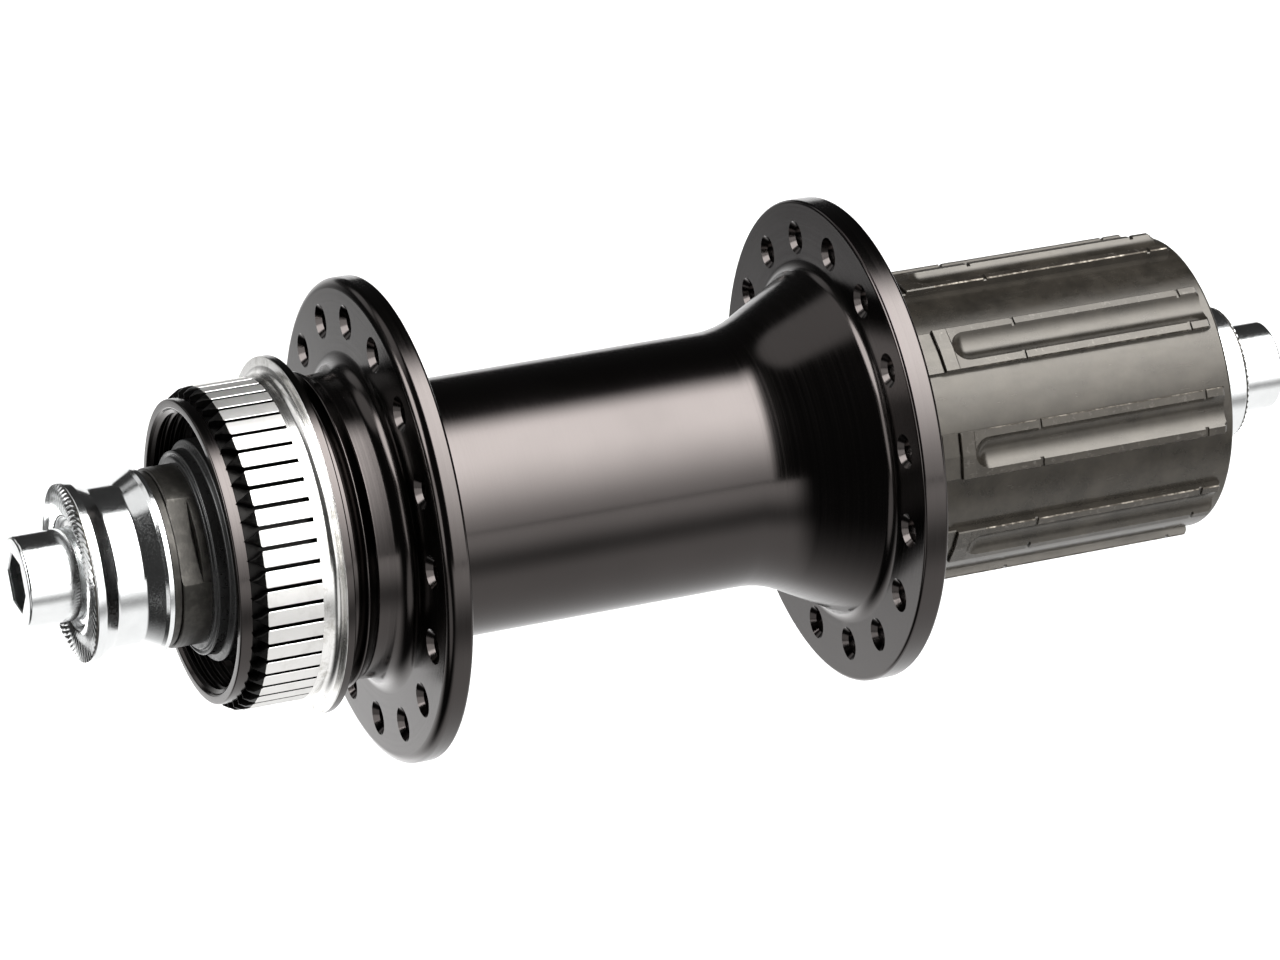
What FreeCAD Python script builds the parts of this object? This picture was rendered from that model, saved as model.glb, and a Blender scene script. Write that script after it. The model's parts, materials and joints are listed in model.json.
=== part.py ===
import FreeCAD
import Part
import math
import os

# Rear wheel hub: quick-release axle, cup-and-cone ball bearings, splined seat for a brake disc
# on the +Y side, splined freewheel body with two pawls on the -Y side.
# Millimetres. The spin axis is Y, Z is up, and the origin lies midway between the lock-nut faces.

# --- overall sizes
over_locknuts = 135.0        # between the outer faces of the two lock nuts
axle_stub = 5.5              # axle end beyond each lock nut
disc_offset = 34.0           # disc-side lock-nut face to the middle of the disc-side flange
drive_offset = 47.5          # drive-side lock-nut face to the middle of the drive-side flange
disc_flange_radius = 26.2
drive_flange_radius = 26.7
flange_thickness = 2.8
barrel_radius = 14.0

# --- axle
axle_end_radius = 4.9
axle_thread_radius = 5.6
axle_seat_radius = 7.0
axle_middle_radius = 6.5
skewer_bore_radius = 2.6
axle_chamfer = 0.4
hex_socket_flats = 5.5
hex_socket_depth = 6.0

# --- lock nuts, washers and cones
nut_recess_depth = 0.6
nut_recess_radius = 6.2
disc_nut_radius = 9.55
disc_nut_waist_radius = 8.55
disc_nut_length = 8.7
disc_washer_radius = 9.3
disc_washer_thickness = 0.9
drive_nut_radius = 7.5
drive_nut_collar_radius = 8.6
drive_nut_length = 5.5
drive_washer_radius = 8.8
drive_washer_thickness = 0.8
drive_spacer_length = 1.2
nut_edge = 0.25              # bevel on a lock nut's rim
disc_rim_length = 1.3        # each length is measured from the nut's outer face
disc_waist_start = 3.0
disc_waist_end = 6.0
disc_collar_length = 0.6
disc_collar_step = 0.2
drive_collar_length = 0.8
drive_collar_slope = 0.8
serration_count = 44
serration_depth = 0.3
serration_half_width = 0.22
serration_skew = 24.0        # degrees between a serration and the radius
serration_overrun = 0.6
cone_radius = 9.6
cone_flats = 17.0
cone_flat_length = 2.2
cone_flat_angle = 145.5
cone_nose_length = 1.9       # from the ball centres to the cone's inner end
cone_nose_step = 0.5
cone_track_play = 0.2
cone_shoulder_start = 1.8
cone_shoulder_end = 2.3
cone_shank_start = 3.3
cone_edge = 0.2

# --- main bearings
main_ball_radius = 1.984
main_ball_count = 15
main_pitch_radius = 11.2
groove_clearance = 0.05      # radial room between a ball and its race
disc_ball_offset = 21.9      # lock-nut face to the ball centres
drive_ball_offset = 13.5
cup_wall = 2.6               # ball pitch radius to the outside of the cup
cage_wall = 0.6
cage_inset = 1.0             # ball centres to the cage's near side
cup_back = 3.5               # from the ball centres to the cup's two ends
cup_front = 2.7
cup_lip_length = 2.0
race_lip = 0.23              # how far the race's edge stands inside the ball's outer side
drive_cup_front = 3.0

# --- seals and covers
running_gap = 0.3
seal_step_radius = 10.9
seal_rim_radius = 11.85
cover_thickness = 1.3
cover_skirt = 0.5
drive_cover_thickness = 0.8
drive_cover_plug = 0.7       # how far the drive cover's lip enters the cup
drive_cover_web = 0.5
drive_cover_inset = 0.2
seal_proud = 0.8             # disc seal's front beyond the boss's end face
seal_step_length = 1.6
seal_edge = 0.2
seal_to_balls = 4.6
drive_seal_proud = 0.5
drive_seal_slope = 0.4
drive_seal_to_balls = 4.3

# --- disc seat
disc_boss_length = 11.6      # from the boss's end face to the rim's back face
disc_boss_inset = 13.5       # lock-nut face to the boss's end face
boss_radius = 16.3
disc_spline_radius = 17.3
disc_spline_count = 50
disc_spline_phase = 177.85
disc_groove_width = 0.42
lead_in_start = 1.4
lead_in_length = 1.4
spline_bevel = 0.6
stop_inset = 10.6            # boss's end face to the disc's stop face
stop_radius = 19.2
stop_fillet = 1.4
ring_thread_radius = 15.2
ring_thread_depth = 4.4
neck_radius = 16.0
neck_ring_radius = 17.2
neck_fillet = 0.6
neck_length = 1.2            # rim's back to the foot of the neck ring
neck_ring_front = 1.8
neck_ring_back = 3.2
neck_ring_drop = 0.2
edge_chamfer = 0.3
flange_edge = 0.4
flange_root_length = 0.8     # neck to flange face, as a hollow curve
flange_root_radius = 3.0
flange_crown_start = 1.8     # where the flange face starts to round over, in from the rim
flange_crown_drop = 0.25
flange_crown_inset = 0.65
flange_crown_end = 0.2
back_root_radius = 3.4       # flange's back to barrel
back_root_drop = 0.1

# --- shell
shell_bore_radius = 11.0
spoke_hole_count = 16
disc_spoke_circle = 21.95    # radius of the circle of holes
drive_spoke_circle = 22.55
spoke_hole_radius = 1.3
spoke_sink = 0.55
drill_overrun = 1.6
disc_hole_phase = 12.5
drive_hole_phase = 2.0
blend_radius = 12.0          # barrel into taper
taper_angle = 28.0
root_fillet = 1.6            # taper into drive-side flange
shoulder_radius = 20.2       # where that fillet meets the flange face

# --- freewheel: bolt, core, ratchet
bolt_play = 0.5
bolt_wall = 1.5
bolt_head_step = 1.5
bolt_thread_length = 10.0
bolt_head_length = 6.0
bolt_flats = 15.0
core_play = 0.1
bolt_edge = 0.4
bolt_hex_floor = 1.0
bolt_seat_offset = 8.3       # outer ball row to the core's step under the bolt's head
web_taper = 1.0              # length of the cone between the shell's web and its bore
spigot_radius = 10.0
spigot_tooth_height = 0.9
spigot_tooth_width = 2.0
spigot_tooth_count = 12
spigot_depth = 2.4
shim_thickness = 0.5
shim_inset = 0.3
shell_boss_radius = 13.5
shell_boss_length = 1.5
freewheel_ball_radius = 1.5875
freewheel_ball_count = 25
freewheel_pitch_step = 1.9   # the freewheel ball circle lies this far outside the main one
race_shoulder = 1.5          # ball row to the full-radius side of a freewheel race
core_neck_play = 0.1
core_relief = 2.3            # ball row to the core's thick middle
core_tail = 2.7              # outer ball row to the core's end
core_shaft_play = 0.4
cup_slope = 0.6              # length over which the cup grows to the head's radius
inner_row_offset = 40.5      # lock-nut face to each row of freewheel balls
outer_row_offset = 19.2
ratchet_tip_step = 0.8       # tooth tips beyond the freewheel ball circle
ratchet_tooth_height = 1.1
ratchet_teeth = 36
ratchet_start = 30.5         # lock-nut face to the ratchet's outer end
ratchet_length = 6.0

# --- pawls
pawl_count = 2
pawl_pivot_step = 1.1        # pivots inside the freewheel ball circle
pawl_knuckle_radius = 1.2
pawl_length = 5.68
pawl_lift = 15.0             # degrees between the engaged pawl and the tangent
pawl_travel = 10.0
pawl_width = 5.4
pawl_phase = 20.0
pocket_room = 0.35
spring_wire_radius = 0.35
spring_ring_step = 0.15      # ring spring inside the freewheel ball circle
spring_gap = 40.0            # degrees left open in the ring
tooth_room = 2.2             # degrees between pawl tip and tooth face
tooth_tip_room = 0.05
pawl_heel_back = 0.8         # pawl tip's inner corner, along and inward
pawl_heel_depth = 0.9
spring_slot_half = 0.6
pocket_end_room = 0.6
pocket_reach = 8.0           # past the core's outside
pocket_extra_turn = 1.0
spring_gap_angle = 90.0      # from the first pawl to the middle of the ring's gap

# --- freewheel body
body_start = 44.1            # lock-nut face to the body's inner end
body_end = 6.8               # lock-nut face to the body's outer end
body_step = 3.3              # body surface beyond the freewheel ball circle
body_bore_slope = 1.3        # ball row to the ratchet's web
body_bore_step = 0.5
body_seal_inset = 0.2
body_seal_length = 1.3
spline_height = 0.9
spline_count = 9
spline_width = 17.6          # degrees
narrow_spline_width = 12.0
narrow_spline = 5
spline_phase = 167.3
spline_start = 40.0
spline_step_drop = 0.35
spline_step_length = 2.0
spline_end_inset = 1.2
rail_groove_width = 3.5
narrow_groove_width = 1.8
rail_groove_depth = 1.0
rail_groove_start = 38.4
nick_insets = (10.5, 30.5)
nick_width = 0.5
nick_depth = 0.25
cassette_thread_step = 1.15  # thread inside the body surface
cassette_thread_length = 7.0

# --- stations along the axis that follow from the sizes above
disc_face = over_locknuts / 2
drive_face = -over_locknuts / 2
disc_ball_y = disc_face - disc_ball_offset
drive_ball_y = drive_face + drive_ball_offset
inner_row_y = drive_face + inner_row_offset
outer_row_y = drive_face + outer_row_offset
boss_end = disc_face - disc_boss_inset
disc_flange_y = disc_face - disc_offset
drive_flange_y = drive_face + drive_offset
drive_flange_back = drive_flange_y - flange_thickness / 2
shell_end = drive_flange_back - shell_boss_length
core_face = shell_end - shim_thickness
disc_cone_end = disc_face - disc_nut_length - disc_washer_thickness
drive_cone_end = drive_face + drive_nut_length + drive_washer_thickness + drive_spacer_length
freewheel_pitch_radius = main_pitch_radius + freewheel_pitch_step
ratchet_tip_radius = freewheel_pitch_radius + ratchet_tip_step
ratchet_root_radius = ratchet_tip_radius + ratchet_tooth_height
pawl_pivot_radius = freewheel_pitch_radius - pawl_pivot_step
spring_ring_radius = freewheel_pitch_radius - spring_ring_step
body_radius = freewheel_pitch_radius + body_step
spline_radius = body_radius + spline_height
spline_step_radius = spline_radius - spline_step_drop
cassette_thread_radius = body_radius - cassette_thread_step
bolt_bore_radius = axle_middle_radius + bolt_play
bolt_radius = bolt_bore_radius + bolt_wall
core_bore_radius = bolt_radius + core_play
bolt_head_radius = bolt_radius + bolt_head_step
core_neck_radius = freewheel_pitch_radius - freewheel_ball_radius - 2 * groove_clearance - core_neck_play
core_shaft_radius = ratchet_tip_radius - core_shaft_play
sleeve_bore_radius = freewheel_pitch_radius + freewheel_ball_radius + 2 * groove_clearance
head_radius = sleeve_bore_radius - running_gap
cup_radius = main_pitch_radius + cup_wall
race_wall_radius = main_pitch_radius + main_ball_radius - race_lip
ratchet_y = drive_face + ratchet_start
SPIN = FreeCAD.Vector(0, 1, 0)
ORIGIN = FreeCAD.Vector(0, 0, 0)
OVERRUN = 1.0                # how far a cutting tool runs past what it cuts


def at(y, r):
    return FreeCAD.Vector(r, y, 0)


def positive(solid):
    return solid if solid.Volume > 0 else solid.reversed()


def turned(outline):
    """Solid turned about Y. (y, r) is a straight edge's end; (ym, rm, y, r) is an arc's, through ym, rm."""
    edges = []
    here = at(*outline[-1][-2:])
    for step in outline:
        there = at(*step[-2:])
        if len(step) == 4:
            edges.append(Part.Arc(here, at(*step[:2]), there).toShape())
        else:
            edges.append(Part.makeLine(here, there))
        here = there
    return positive(Part.Face(Part.Wire(edges)).revolve(ORIGIN, SPIN, 360))


def ring(y0, y1, inner, outer):
    return turned([(y0, inner), (y0, outer), (y1, outer), (y1, inner)])


def groove(y, pitch, radius):
    """Ring of round section, for a ball track."""
    return Part.makeTorus(pitch, radius, at(y, 0), SPIN)


def around(shape, angle):
    """Turn a shape about Y by an angle measured from +X towards +Z."""
    return shape.rotated(ORIGIN, SPIN, -angle)


def repeated(shape, count, phase=0.0):
    return [around(shape, phase + 360.0 * k / count) for k in range(count)]


def prism(points, y0, y1):
    """Solid with a polygon in the X-Z plane, from y0 to y1."""
    corners = [FreeCAD.Vector(x, y0, z) for x, z in points]
    face = Part.Face(Part.makePolygon(corners + corners[:1]))
    return positive(face.extrude(FreeCAD.Vector(0, y1 - y0, 0)))


def hexagon(flats, y0, y1):
    corner = flats / math.sqrt(3)
    angles = [math.radians(60 * k + 30) for k in range(6)]
    return prism([(corner * math.cos(a), corner * math.sin(a)) for a in angles], y0, y1)


def sector(inner, outer, width, y0, y1):
    """Annular sector centred on +X, width in degrees."""
    ring_part = ring(y0, y1, inner, outer)
    half = math.radians(width / 2)
    reach = 2 * outer
    corners = [(0, 0), (reach, -reach * math.tan(half)), (reach, reach * math.tan(half))]
    return ring_part.common(prism(corners, y0, y1))


def fused(first, others):
    return first.fuse(others).removeSplitter()


def without(shape, tools):
    return shape.cut(tools)


# ---------------------------------------------------------------- axle and what is fixed to it

def axle():
    half = over_locknuts / 2 + axle_stub
    disc_thread = disc_face - nut_recess_depth
    drive_thread = drive_face + nut_recess_depth
    seat_start = disc_ball_y - main_ball_radius
    seat_end = drive_ball_y + main_ball_radius
    solid = turned([
        (half, skewer_bore_radius), (half, axle_end_radius - axle_chamfer),
        (half - axle_chamfer, axle_end_radius), (disc_thread, axle_end_radius),
        (disc_thread, axle_thread_radius), (disc_cone_end, axle_thread_radius),
        (disc_cone_end, axle_seat_radius), (seat_start, axle_seat_radius),
        (seat_start, axle_middle_radius), (seat_end, axle_middle_radius),
        (seat_end, axle_seat_radius), (drive_cone_end, axle_seat_radius),
        (drive_cone_end, axle_thread_radius), (drive_thread, axle_thread_radius),
        (drive_thread, axle_end_radius), (-half + axle_chamfer, axle_end_radius),
        (-half, axle_end_radius - axle_chamfer), (-half, skewer_bore_radius)])
    return without(solid, [hexagon(hex_socket_flats, half - hex_socket_depth, half)])


def serrations(face, side, inner, outer):
    """Shallow V grooves that bite into the frame's drop-out."""
    middle = (inner + outer) / 2
    reach = (outer - inner) / 2 + serration_overrun
    deep = face - side * serration_depth
    proud = face + side * serration_depth
    v_shape = Part.makePolygon([
        FreeCAD.Vector(middle - reach, deep, 0),
        FreeCAD.Vector(middle - reach, proud, -2 * serration_half_width),
        FreeCAD.Vector(middle - reach, proud, 2 * serration_half_width),
        FreeCAD.Vector(middle - reach, deep, 0)])
    tool = positive(Part.Face(v_shape).extrude(FreeCAD.Vector(2 * reach, 0, 0)))
    tool = tool.rotated(FreeCAD.Vector(middle, 0, 0), SPIN, serration_skew)
    inside = ring(deep - side, proud + side, inner, outer)
    return [cut.common(inside) for cut in repeated(tool, serration_count)]


def disc_lock_nut():
    face = disc_face
    back = face - disc_nut_length
    rim = disc_nut_radius
    collar = rim + disc_collar_step
    solid = turned([
        (face, nut_recess_radius), (face, rim - nut_edge), (face - nut_edge, rim),
        (face - disc_rim_length, rim),
        (face - disc_waist_start, disc_nut_waist_radius), (face - disc_waist_end, disc_nut_waist_radius),
        (back + disc_collar_length + nut_edge, rim), (back + disc_collar_length, collar), (back, collar),
        (back, axle_thread_radius), (face - nut_recess_depth, axle_thread_radius),
        (face - nut_recess_depth, nut_recess_radius)])
    return without(solid, serrations(face, 1, nut_recess_radius, rim))


def drive_lock_nut():
    face = drive_face
    back = face + drive_nut_length
    rim = drive_nut_radius
    solid = turned([
        (face, nut_recess_radius), (face, rim - nut_edge), (face + nut_edge, rim),
        (back - drive_collar_length - drive_collar_slope, rim),
        (back - drive_collar_length, drive_nut_collar_radius), (back, drive_nut_collar_radius),
        (back, axle_thread_radius), (face + nut_recess_depth, axle_thread_radius),
        (face + nut_recess_depth, nut_recess_radius)])
    return without(solid, serrations(face, -1, nut_recess_radius, rim))


def disc_lock_washer():
    return ring(disc_cone_end, disc_cone_end + disc_washer_thickness, axle_thread_radius, disc_washer_radius)


def drive_lock_washer():
    start = drive_cone_end - drive_spacer_length
    return ring(start, start - drive_washer_thickness, axle_thread_radius, drive_washer_radius)


def drive_spacer():
    return ring(drive_cone_end, drive_cone_end - drive_spacer_length, axle_thread_radius, drive_washer_radius)


def main_groove(ball_y):
    return groove(ball_y, main_pitch_radius, main_ball_radius + groove_clearance)


def cone(ball_y, end):
    """Bearing cone: ball track at its inner end, spanner flats at its outer end."""
    side = math.copysign(1, end)
    pitch = main_pitch_radius
    track = pitch - main_ball_radius + cone_track_play
    nose = ball_y - side * cone_nose_length
    solid = turned([
        (nose, axle_seat_radius), (nose, track - cone_nose_step), (ball_y, track),
        (ball_y + side * cone_shoulder_start, pitch - running_gap),
        (ball_y + side * cone_shoulder_end, pitch - running_gap),
        (ball_y + side * cone_shank_start, cone_radius),
        (end - side * cone_edge, cone_radius), (end, cone_radius - cone_edge), (end, axle_seat_radius)])
    flat_start = end - side * cone_flat_length
    across = cone_flats / 2
    corners = [(across, -cone_radius), (2 * cone_radius, -cone_radius),
               (2 * cone_radius, cone_radius), (across, cone_radius)]
    flat = prism(corners, flat_start, end)
    return without(solid, [main_groove(ball_y)] + repeated(flat, 2, cone_flat_angle))


def disc_cone_seal():
    """Stepped rubber seal pushed on the disc-side cone."""
    lip = seal_rim_radius
    front = boss_end + seal_proud
    step = front - seal_step_length
    inner_end = disc_ball_y + seal_to_balls
    return turned([
        (front, cone_radius), (front, seal_step_radius - seal_edge), (front - seal_edge, seal_step_radius),
        (step, seal_step_radius), (step, lip - seal_edge), (step - seal_edge, lip), (inner_end, lip),
        (inner_end, cone_radius)])


def drive_cone_seal():
    front = drive_cone_end + drive_seal_proud
    inner_end = drive_ball_y - drive_seal_to_balls
    return turned([
        (front, cone_radius), (front, seal_step_radius), (front + drive_seal_slope, seal_rim_radius),
        (inner_end, seal_rim_radius), (inner_end, cone_radius)])


# ---------------------------------------------------------------- balls and their cages

def balls(y, pitch, radius, count):
    return Part.makeCompound(repeated(Part.makeSphere(radius, at(y, pitch)), count))


def cage(ball_y, side):
    inner = main_pitch_radius + running_gap
    far_end = ball_y + side * (main_ball_radius + cage_wall)
    blank = ring(ball_y + side * cage_inset, far_end, inner, inner + cage_wall)
    pocket = Part.makeSphere(main_ball_radius + groove_clearance, at(ball_y, main_pitch_radius))
    return without(blank, repeated(pocket, main_ball_count))


# ---------------------------------------------------------------- shell

def disc_cup():
    pitch = main_pitch_radius
    lip = pitch - main_ball_radius + running_gap
    solid = turned([
        (disc_ball_y - cup_back, lip), (disc_ball_y - cup_back, cup_radius),
        (disc_ball_y + cup_front, cup_radius), (disc_ball_y + cup_front, race_wall_radius),
        (disc_ball_y, race_wall_radius), (disc_ball_y - cup_lip_length, pitch - running_gap),
        (disc_ball_y - cup_lip_length, lip)])
    return without(solid, [main_groove(disc_ball_y)])


def disc_dust_cover():
    start = disc_ball_y + cup_front
    outer = cup_radius + cage_wall
    inner = seal_rim_radius + running_gap
    return turned([
        (start, outer), (start + cover_thickness, outer), (start + cover_thickness, inner),
        (start + cover_skirt, inner), (start + cover_skirt, race_wall_radius), (start, race_wall_radius)])


def disc_splines():
    """The narrow grooves between the disc's spline lands, each opening into a V at its outer end."""
    half = disc_groove_width / 2
    pitch_half = math.pi * disc_spline_radius / disc_spline_count
    start = boss_end - lead_in_start
    shoulder = start - lead_in_length
    end = boss_end - stop_inset + stop_fillet
    outline = [(half, end), (half, shoulder), (pitch_half, start), (pitch_half, start + OVERRUN),
               (-pitch_half, start + OVERRUN), (-pitch_half, start), (-half, shoulder), (-half, end)]
    corners = [FreeCAD.Vector(boss_radius, y, z) for z, y in outline]
    face = Part.Face(Part.makePolygon(corners + corners[:1]))
    tool = positive(face.extrude(FreeCAD.Vector(disc_spline_radius - boss_radius + OVERRUN, 0, 0)))
    return repeated(tool, disc_spline_count, disc_spline_phase)


def spoke_holes(middle, circle, phase):
    """Drilled through, with a small countersink on each face."""
    depth = flange_thickness + 2 * drill_overrun
    drill = Part.makeCylinder(spoke_hole_radius, depth, at(middle - depth / 2, circle), SPIN)
    wide = spoke_hole_radius + 2 * spoke_sink
    sinks = []
    for face, side in ((middle + flange_thickness / 2, 1), (middle - flange_thickness / 2, -1)):
        start = at(face - side * spoke_sink, circle)
        direction = FreeCAD.Vector(0, side, 0)
        sinks.append(Part.makeCone(spoke_hole_radius, wide, 2 * spoke_sink, start, direction))
    return repeated(drill.fuse(sinks), spoke_hole_count, phase)


def taper_outline():
    """Barrel, blend arc, straight taper and root fillet up to the drive-side flange face."""
    slope = math.radians(taper_angle)
    face = drive_flange_y + flange_thickness / 2
    fillet_y = face + root_fillet * (1 - math.sin(slope))
    fillet_r = shoulder_radius - root_fillet * math.cos(slope)
    middle = (slope + math.pi / 2) / 2
    fillet_mid = (face + root_fillet * (1 - math.sin(middle)),
                  shoulder_radius - root_fillet * math.cos(middle))
    blend_r = barrel_radius + blend_radius * (1 - math.cos(slope))
    blend_y = fillet_y + (fillet_r - blend_r) / math.tan(slope)
    start_y = blend_y + blend_radius * math.sin(slope)
    blend_mid = (start_y - blend_radius * math.sin(slope / 2),
                 barrel_radius + blend_radius * (1 - math.cos(slope / 2)))
    return [(start_y, barrel_radius), (*blend_mid, blend_y, blend_r), (fillet_y, fillet_r),
            (*fillet_mid, face, shoulder_radius)]


def disc_end_outline():
    """Outer outline from the boss's end face to the back of the disc's stop rim."""
    stop = boss_end - stop_inset
    rim_back = boss_end - disc_boss_length
    middle = stop_fillet * (1 - math.sqrt(0.5))
    return [
        (boss_end, ring_thread_radius + edge_chamfer), (boss_end, boss_radius - edge_chamfer),
        (boss_end - edge_chamfer, boss_radius), (boss_end - lead_in_start, boss_radius),
        (boss_end - lead_in_start, disc_spline_radius - spline_bevel),
        (boss_end - lead_in_start - spline_bevel, disc_spline_radius),
        (stop + stop_fillet, disc_spline_radius),
        (stop + middle, disc_spline_radius + middle, stop, disc_spline_radius + stop_fillet),
        (stop, stop_radius), (rim_back, stop_radius), (rim_back - edge_chamfer, stop_radius - edge_chamfer)]


def disc_flange_outline():
    """Neck with its step ring, dished disc-side flange, and the back of that flange down to the barrel."""
    neck = boss_end - disc_boss_length - edge_chamfer
    rim = disc_flange_radius
    y = disc_flange_y
    face = y + flange_thickness / 2
    back = y - flange_thickness / 2
    arc = 1 - math.sqrt(0.5)
    root = face + flange_root_length
    drop = neck_radius + neck_ring_drop
    return [
        (neck, neck_radius + neck_fillet),
        (neck - arc * neck_fillet, neck_radius + arc * neck_fillet, neck - neck_fillet, neck_radius),
        (neck - neck_length, neck_radius), (neck - neck_ring_front, neck_ring_radius),
        (neck - neck_ring_back, drop),
        (root, neck_ring_radius, face + neck_ring_drop, neck_radius + flange_root_radius),
        (face, rim - flange_crown_start),
        (face - flange_crown_drop, rim - flange_crown_inset, y + flange_crown_end, rim),
        (back + flange_edge, rim), (back, rim - flange_edge),
        (back - back_root_drop, barrel_radius + back_root_radius),
        (back - arc * back_root_radius, barrel_radius + arc * back_root_radius,
         back - back_root_radius, barrel_radius)]


def spigot():
    """Toothed spigot that keys the freewheel core to the shell."""
    post = ring(core_face, shell_end + spigot_depth, core_bore_radius, spigot_radius)
    half = spigot_tooth_width / 2
    reach = spigot_radius + spigot_tooth_height
    inside = (core_bore_radius + spigot_radius) / 2
    tooth = prism([(inside, -half), (reach, -half), (reach, half), (inside, half)],
                  core_face, shell_end + spigot_depth)
    return fused(post, repeated(tooth, spigot_tooth_count))


def hub_shell():
    cup_seat = disc_ball_y - cup_back
    cover_seat = disc_ball_y + cup_front
    thread_end = boss_end - ring_thread_depth
    cover_radius = cup_radius + cage_wall
    web = shell_end + spigot_depth + bolt_thread_length
    drive_face_y = drive_flange_y + flange_thickness / 2
    outline = disc_end_outline() + disc_flange_outline() + taper_outline()
    outline += [
        (drive_face_y, drive_flange_radius - flange_edge), (drive_face_y - flange_edge, drive_flange_radius),
        (drive_flange_back + flange_edge, drive_flange_radius),
        (drive_flange_back, drive_flange_radius - flange_edge),
        (drive_flange_back, shell_boss_radius), (shell_end, shell_boss_radius),
        (shell_end, bolt_radius), (web, bolt_radius), (web + web_taper, shell_bore_radius),
        (cup_seat, shell_bore_radius), (cup_seat, cup_radius), (cover_seat, cup_radius),
        (cover_seat, cover_radius), (thread_end, cover_radius), (thread_end, ring_thread_radius),
        (boss_end - edge_chamfer, ring_thread_radius)]
    socket = spigot().fuse(ring(core_face, shell_end + spigot_depth, bolt_bore_radius, spigot_radius))
    tools = disc_splines() + spoke_holes(disc_flange_y, disc_spoke_circle, disc_hole_phase)
    tools += spoke_holes(drive_flange_y, drive_spoke_circle, drive_hole_phase)
    tools.append(socket)
    return without(turned(outline), tools)


# ---------------------------------------------------------------- freewheel core

def core_shim():
    inner = spigot_radius + spigot_tooth_height + core_play
    return ring(shell_end, core_face, inner, shell_boss_radius - shim_inset)


def fixing_bolt():
    """Hollow bolt that clamps the freewheel core to the shell."""
    tip = shell_end + spigot_depth + bolt_thread_length
    head = core_step()
    end = head - bolt_head_length
    blank = turned([
        (tip, bolt_bore_radius), (tip, bolt_radius - bolt_edge), (tip - bolt_edge, bolt_radius),
        (head, bolt_radius),
        (head, bolt_head_radius), (end, bolt_head_radius), (end, bolt_bore_radius)])
    return without(blank, [hexagon(bolt_flats, end, head - bolt_hex_floor)])


def core_step():
    """Where the bolt's head bears in the core."""
    return outer_row_y + bolt_seat_offset


def pawl_frame(points, y0, y1, turn=0.0):
    """Prism whose points are (along the arm, outward), turned back by a number of degrees."""
    lift = math.radians(pawl_lift - turn)
    placed = []
    for along, out in points:
        radial = pawl_pivot_radius + along * math.sin(lift) + out * math.cos(lift)
        tangent = along * math.cos(lift) - out * math.sin(lift)
        placed.append((radial, tangent))
    return prism(placed, y0, y1)


def pawl_span():
    middle = ratchet_y + ratchet_length / 2
    return middle - pawl_width / 2, middle + pawl_width / 2


def pawl(index):
    y0, y1 = pawl_span()
    knuckle = Part.makeCylinder(pawl_knuckle_radius, y1 - y0, at(y0, pawl_pivot_radius), SPIN)
    arm = pawl_frame([(0, -pawl_knuckle_radius), (pawl_length - pawl_heel_back, -pawl_heel_depth),
                      (pawl_length, 0), (0, pawl_knuckle_radius)], y0, y1)
    middle = (y0 + y1) / 2
    slot = ring(middle - spring_slot_half, middle + spring_slot_half,
                spring_ring_radius - spring_wire_radius - running_gap, ratchet_root_radius)
    solid = without(fused(knuckle, [arm]), [slot])
    return around(solid, pawl_phase + 360.0 * index / pawl_count)


def pawl_pocket():
    y0, y1 = pawl_span()
    deep = -pawl_knuckle_radius - pocket_room
    far = pawl_length + pocket_end_room
    points = [(deep, deep), (far, deep), (far, pocket_reach), (deep, pocket_reach)]
    return pawl_frame(points, y0 - running_gap, y1 + running_gap, pawl_travel + pocket_extra_turn)


def freewheel_core():
    shaft_start = inner_row_y - core_relief
    shaft_end = outer_row_y + core_relief
    end = outer_row_y - core_tail
    step = core_step()
    race = freewheel_pitch_radius - running_gap
    solid = turned([
        (core_face, core_bore_radius), (core_face, race), (inner_row_y + race_shoulder, race),
        (inner_row_y, core_neck_radius), (shaft_start, core_neck_radius), (shaft_start, core_shaft_radius),
        (shaft_end, core_shaft_radius), (shaft_end, core_neck_radius), (end, core_neck_radius),
        (end, bolt_head_radius + core_play), (step, bolt_head_radius + core_play),
        (step, core_bore_radius)])
    middle = sum(pawl_span()) / 2
    inner_groove = spring_ring_radius - spring_wire_radius - core_play
    tools = repeated(pawl_pocket(), pawl_count, pawl_phase)
    tools.append(ring(middle - spring_slot_half, middle + spring_slot_half, inner_groove,
                      core_shaft_radius + OVERRUN))
    tools.append(freewheel_groove(inner_row_y))
    return fused(without(solid, tools), [spigot()])


def freewheel_groove(y):
    return groove(y, freewheel_pitch_radius, freewheel_ball_radius + groove_clearance)


def pawl_spring():
    """Open wire ring that lies over both pawls and presses them outward."""
    middle = sum(pawl_span()) / 2
    loop = Part.makeTorus(spring_ring_radius, spring_wire_radius, at(middle, 0), SPIN)
    half = math.radians(spring_gap / 2)
    reach = 2 * spring_ring_radius
    corners = [(0, 0), (reach, -reach * math.tan(half)), (reach, reach * math.tan(half))]
    opening = around(prism(corners, middle - OVERRUN, middle + OVERRUN), pawl_phase + spring_gap_angle)
    return without(loop, [opening])


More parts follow.
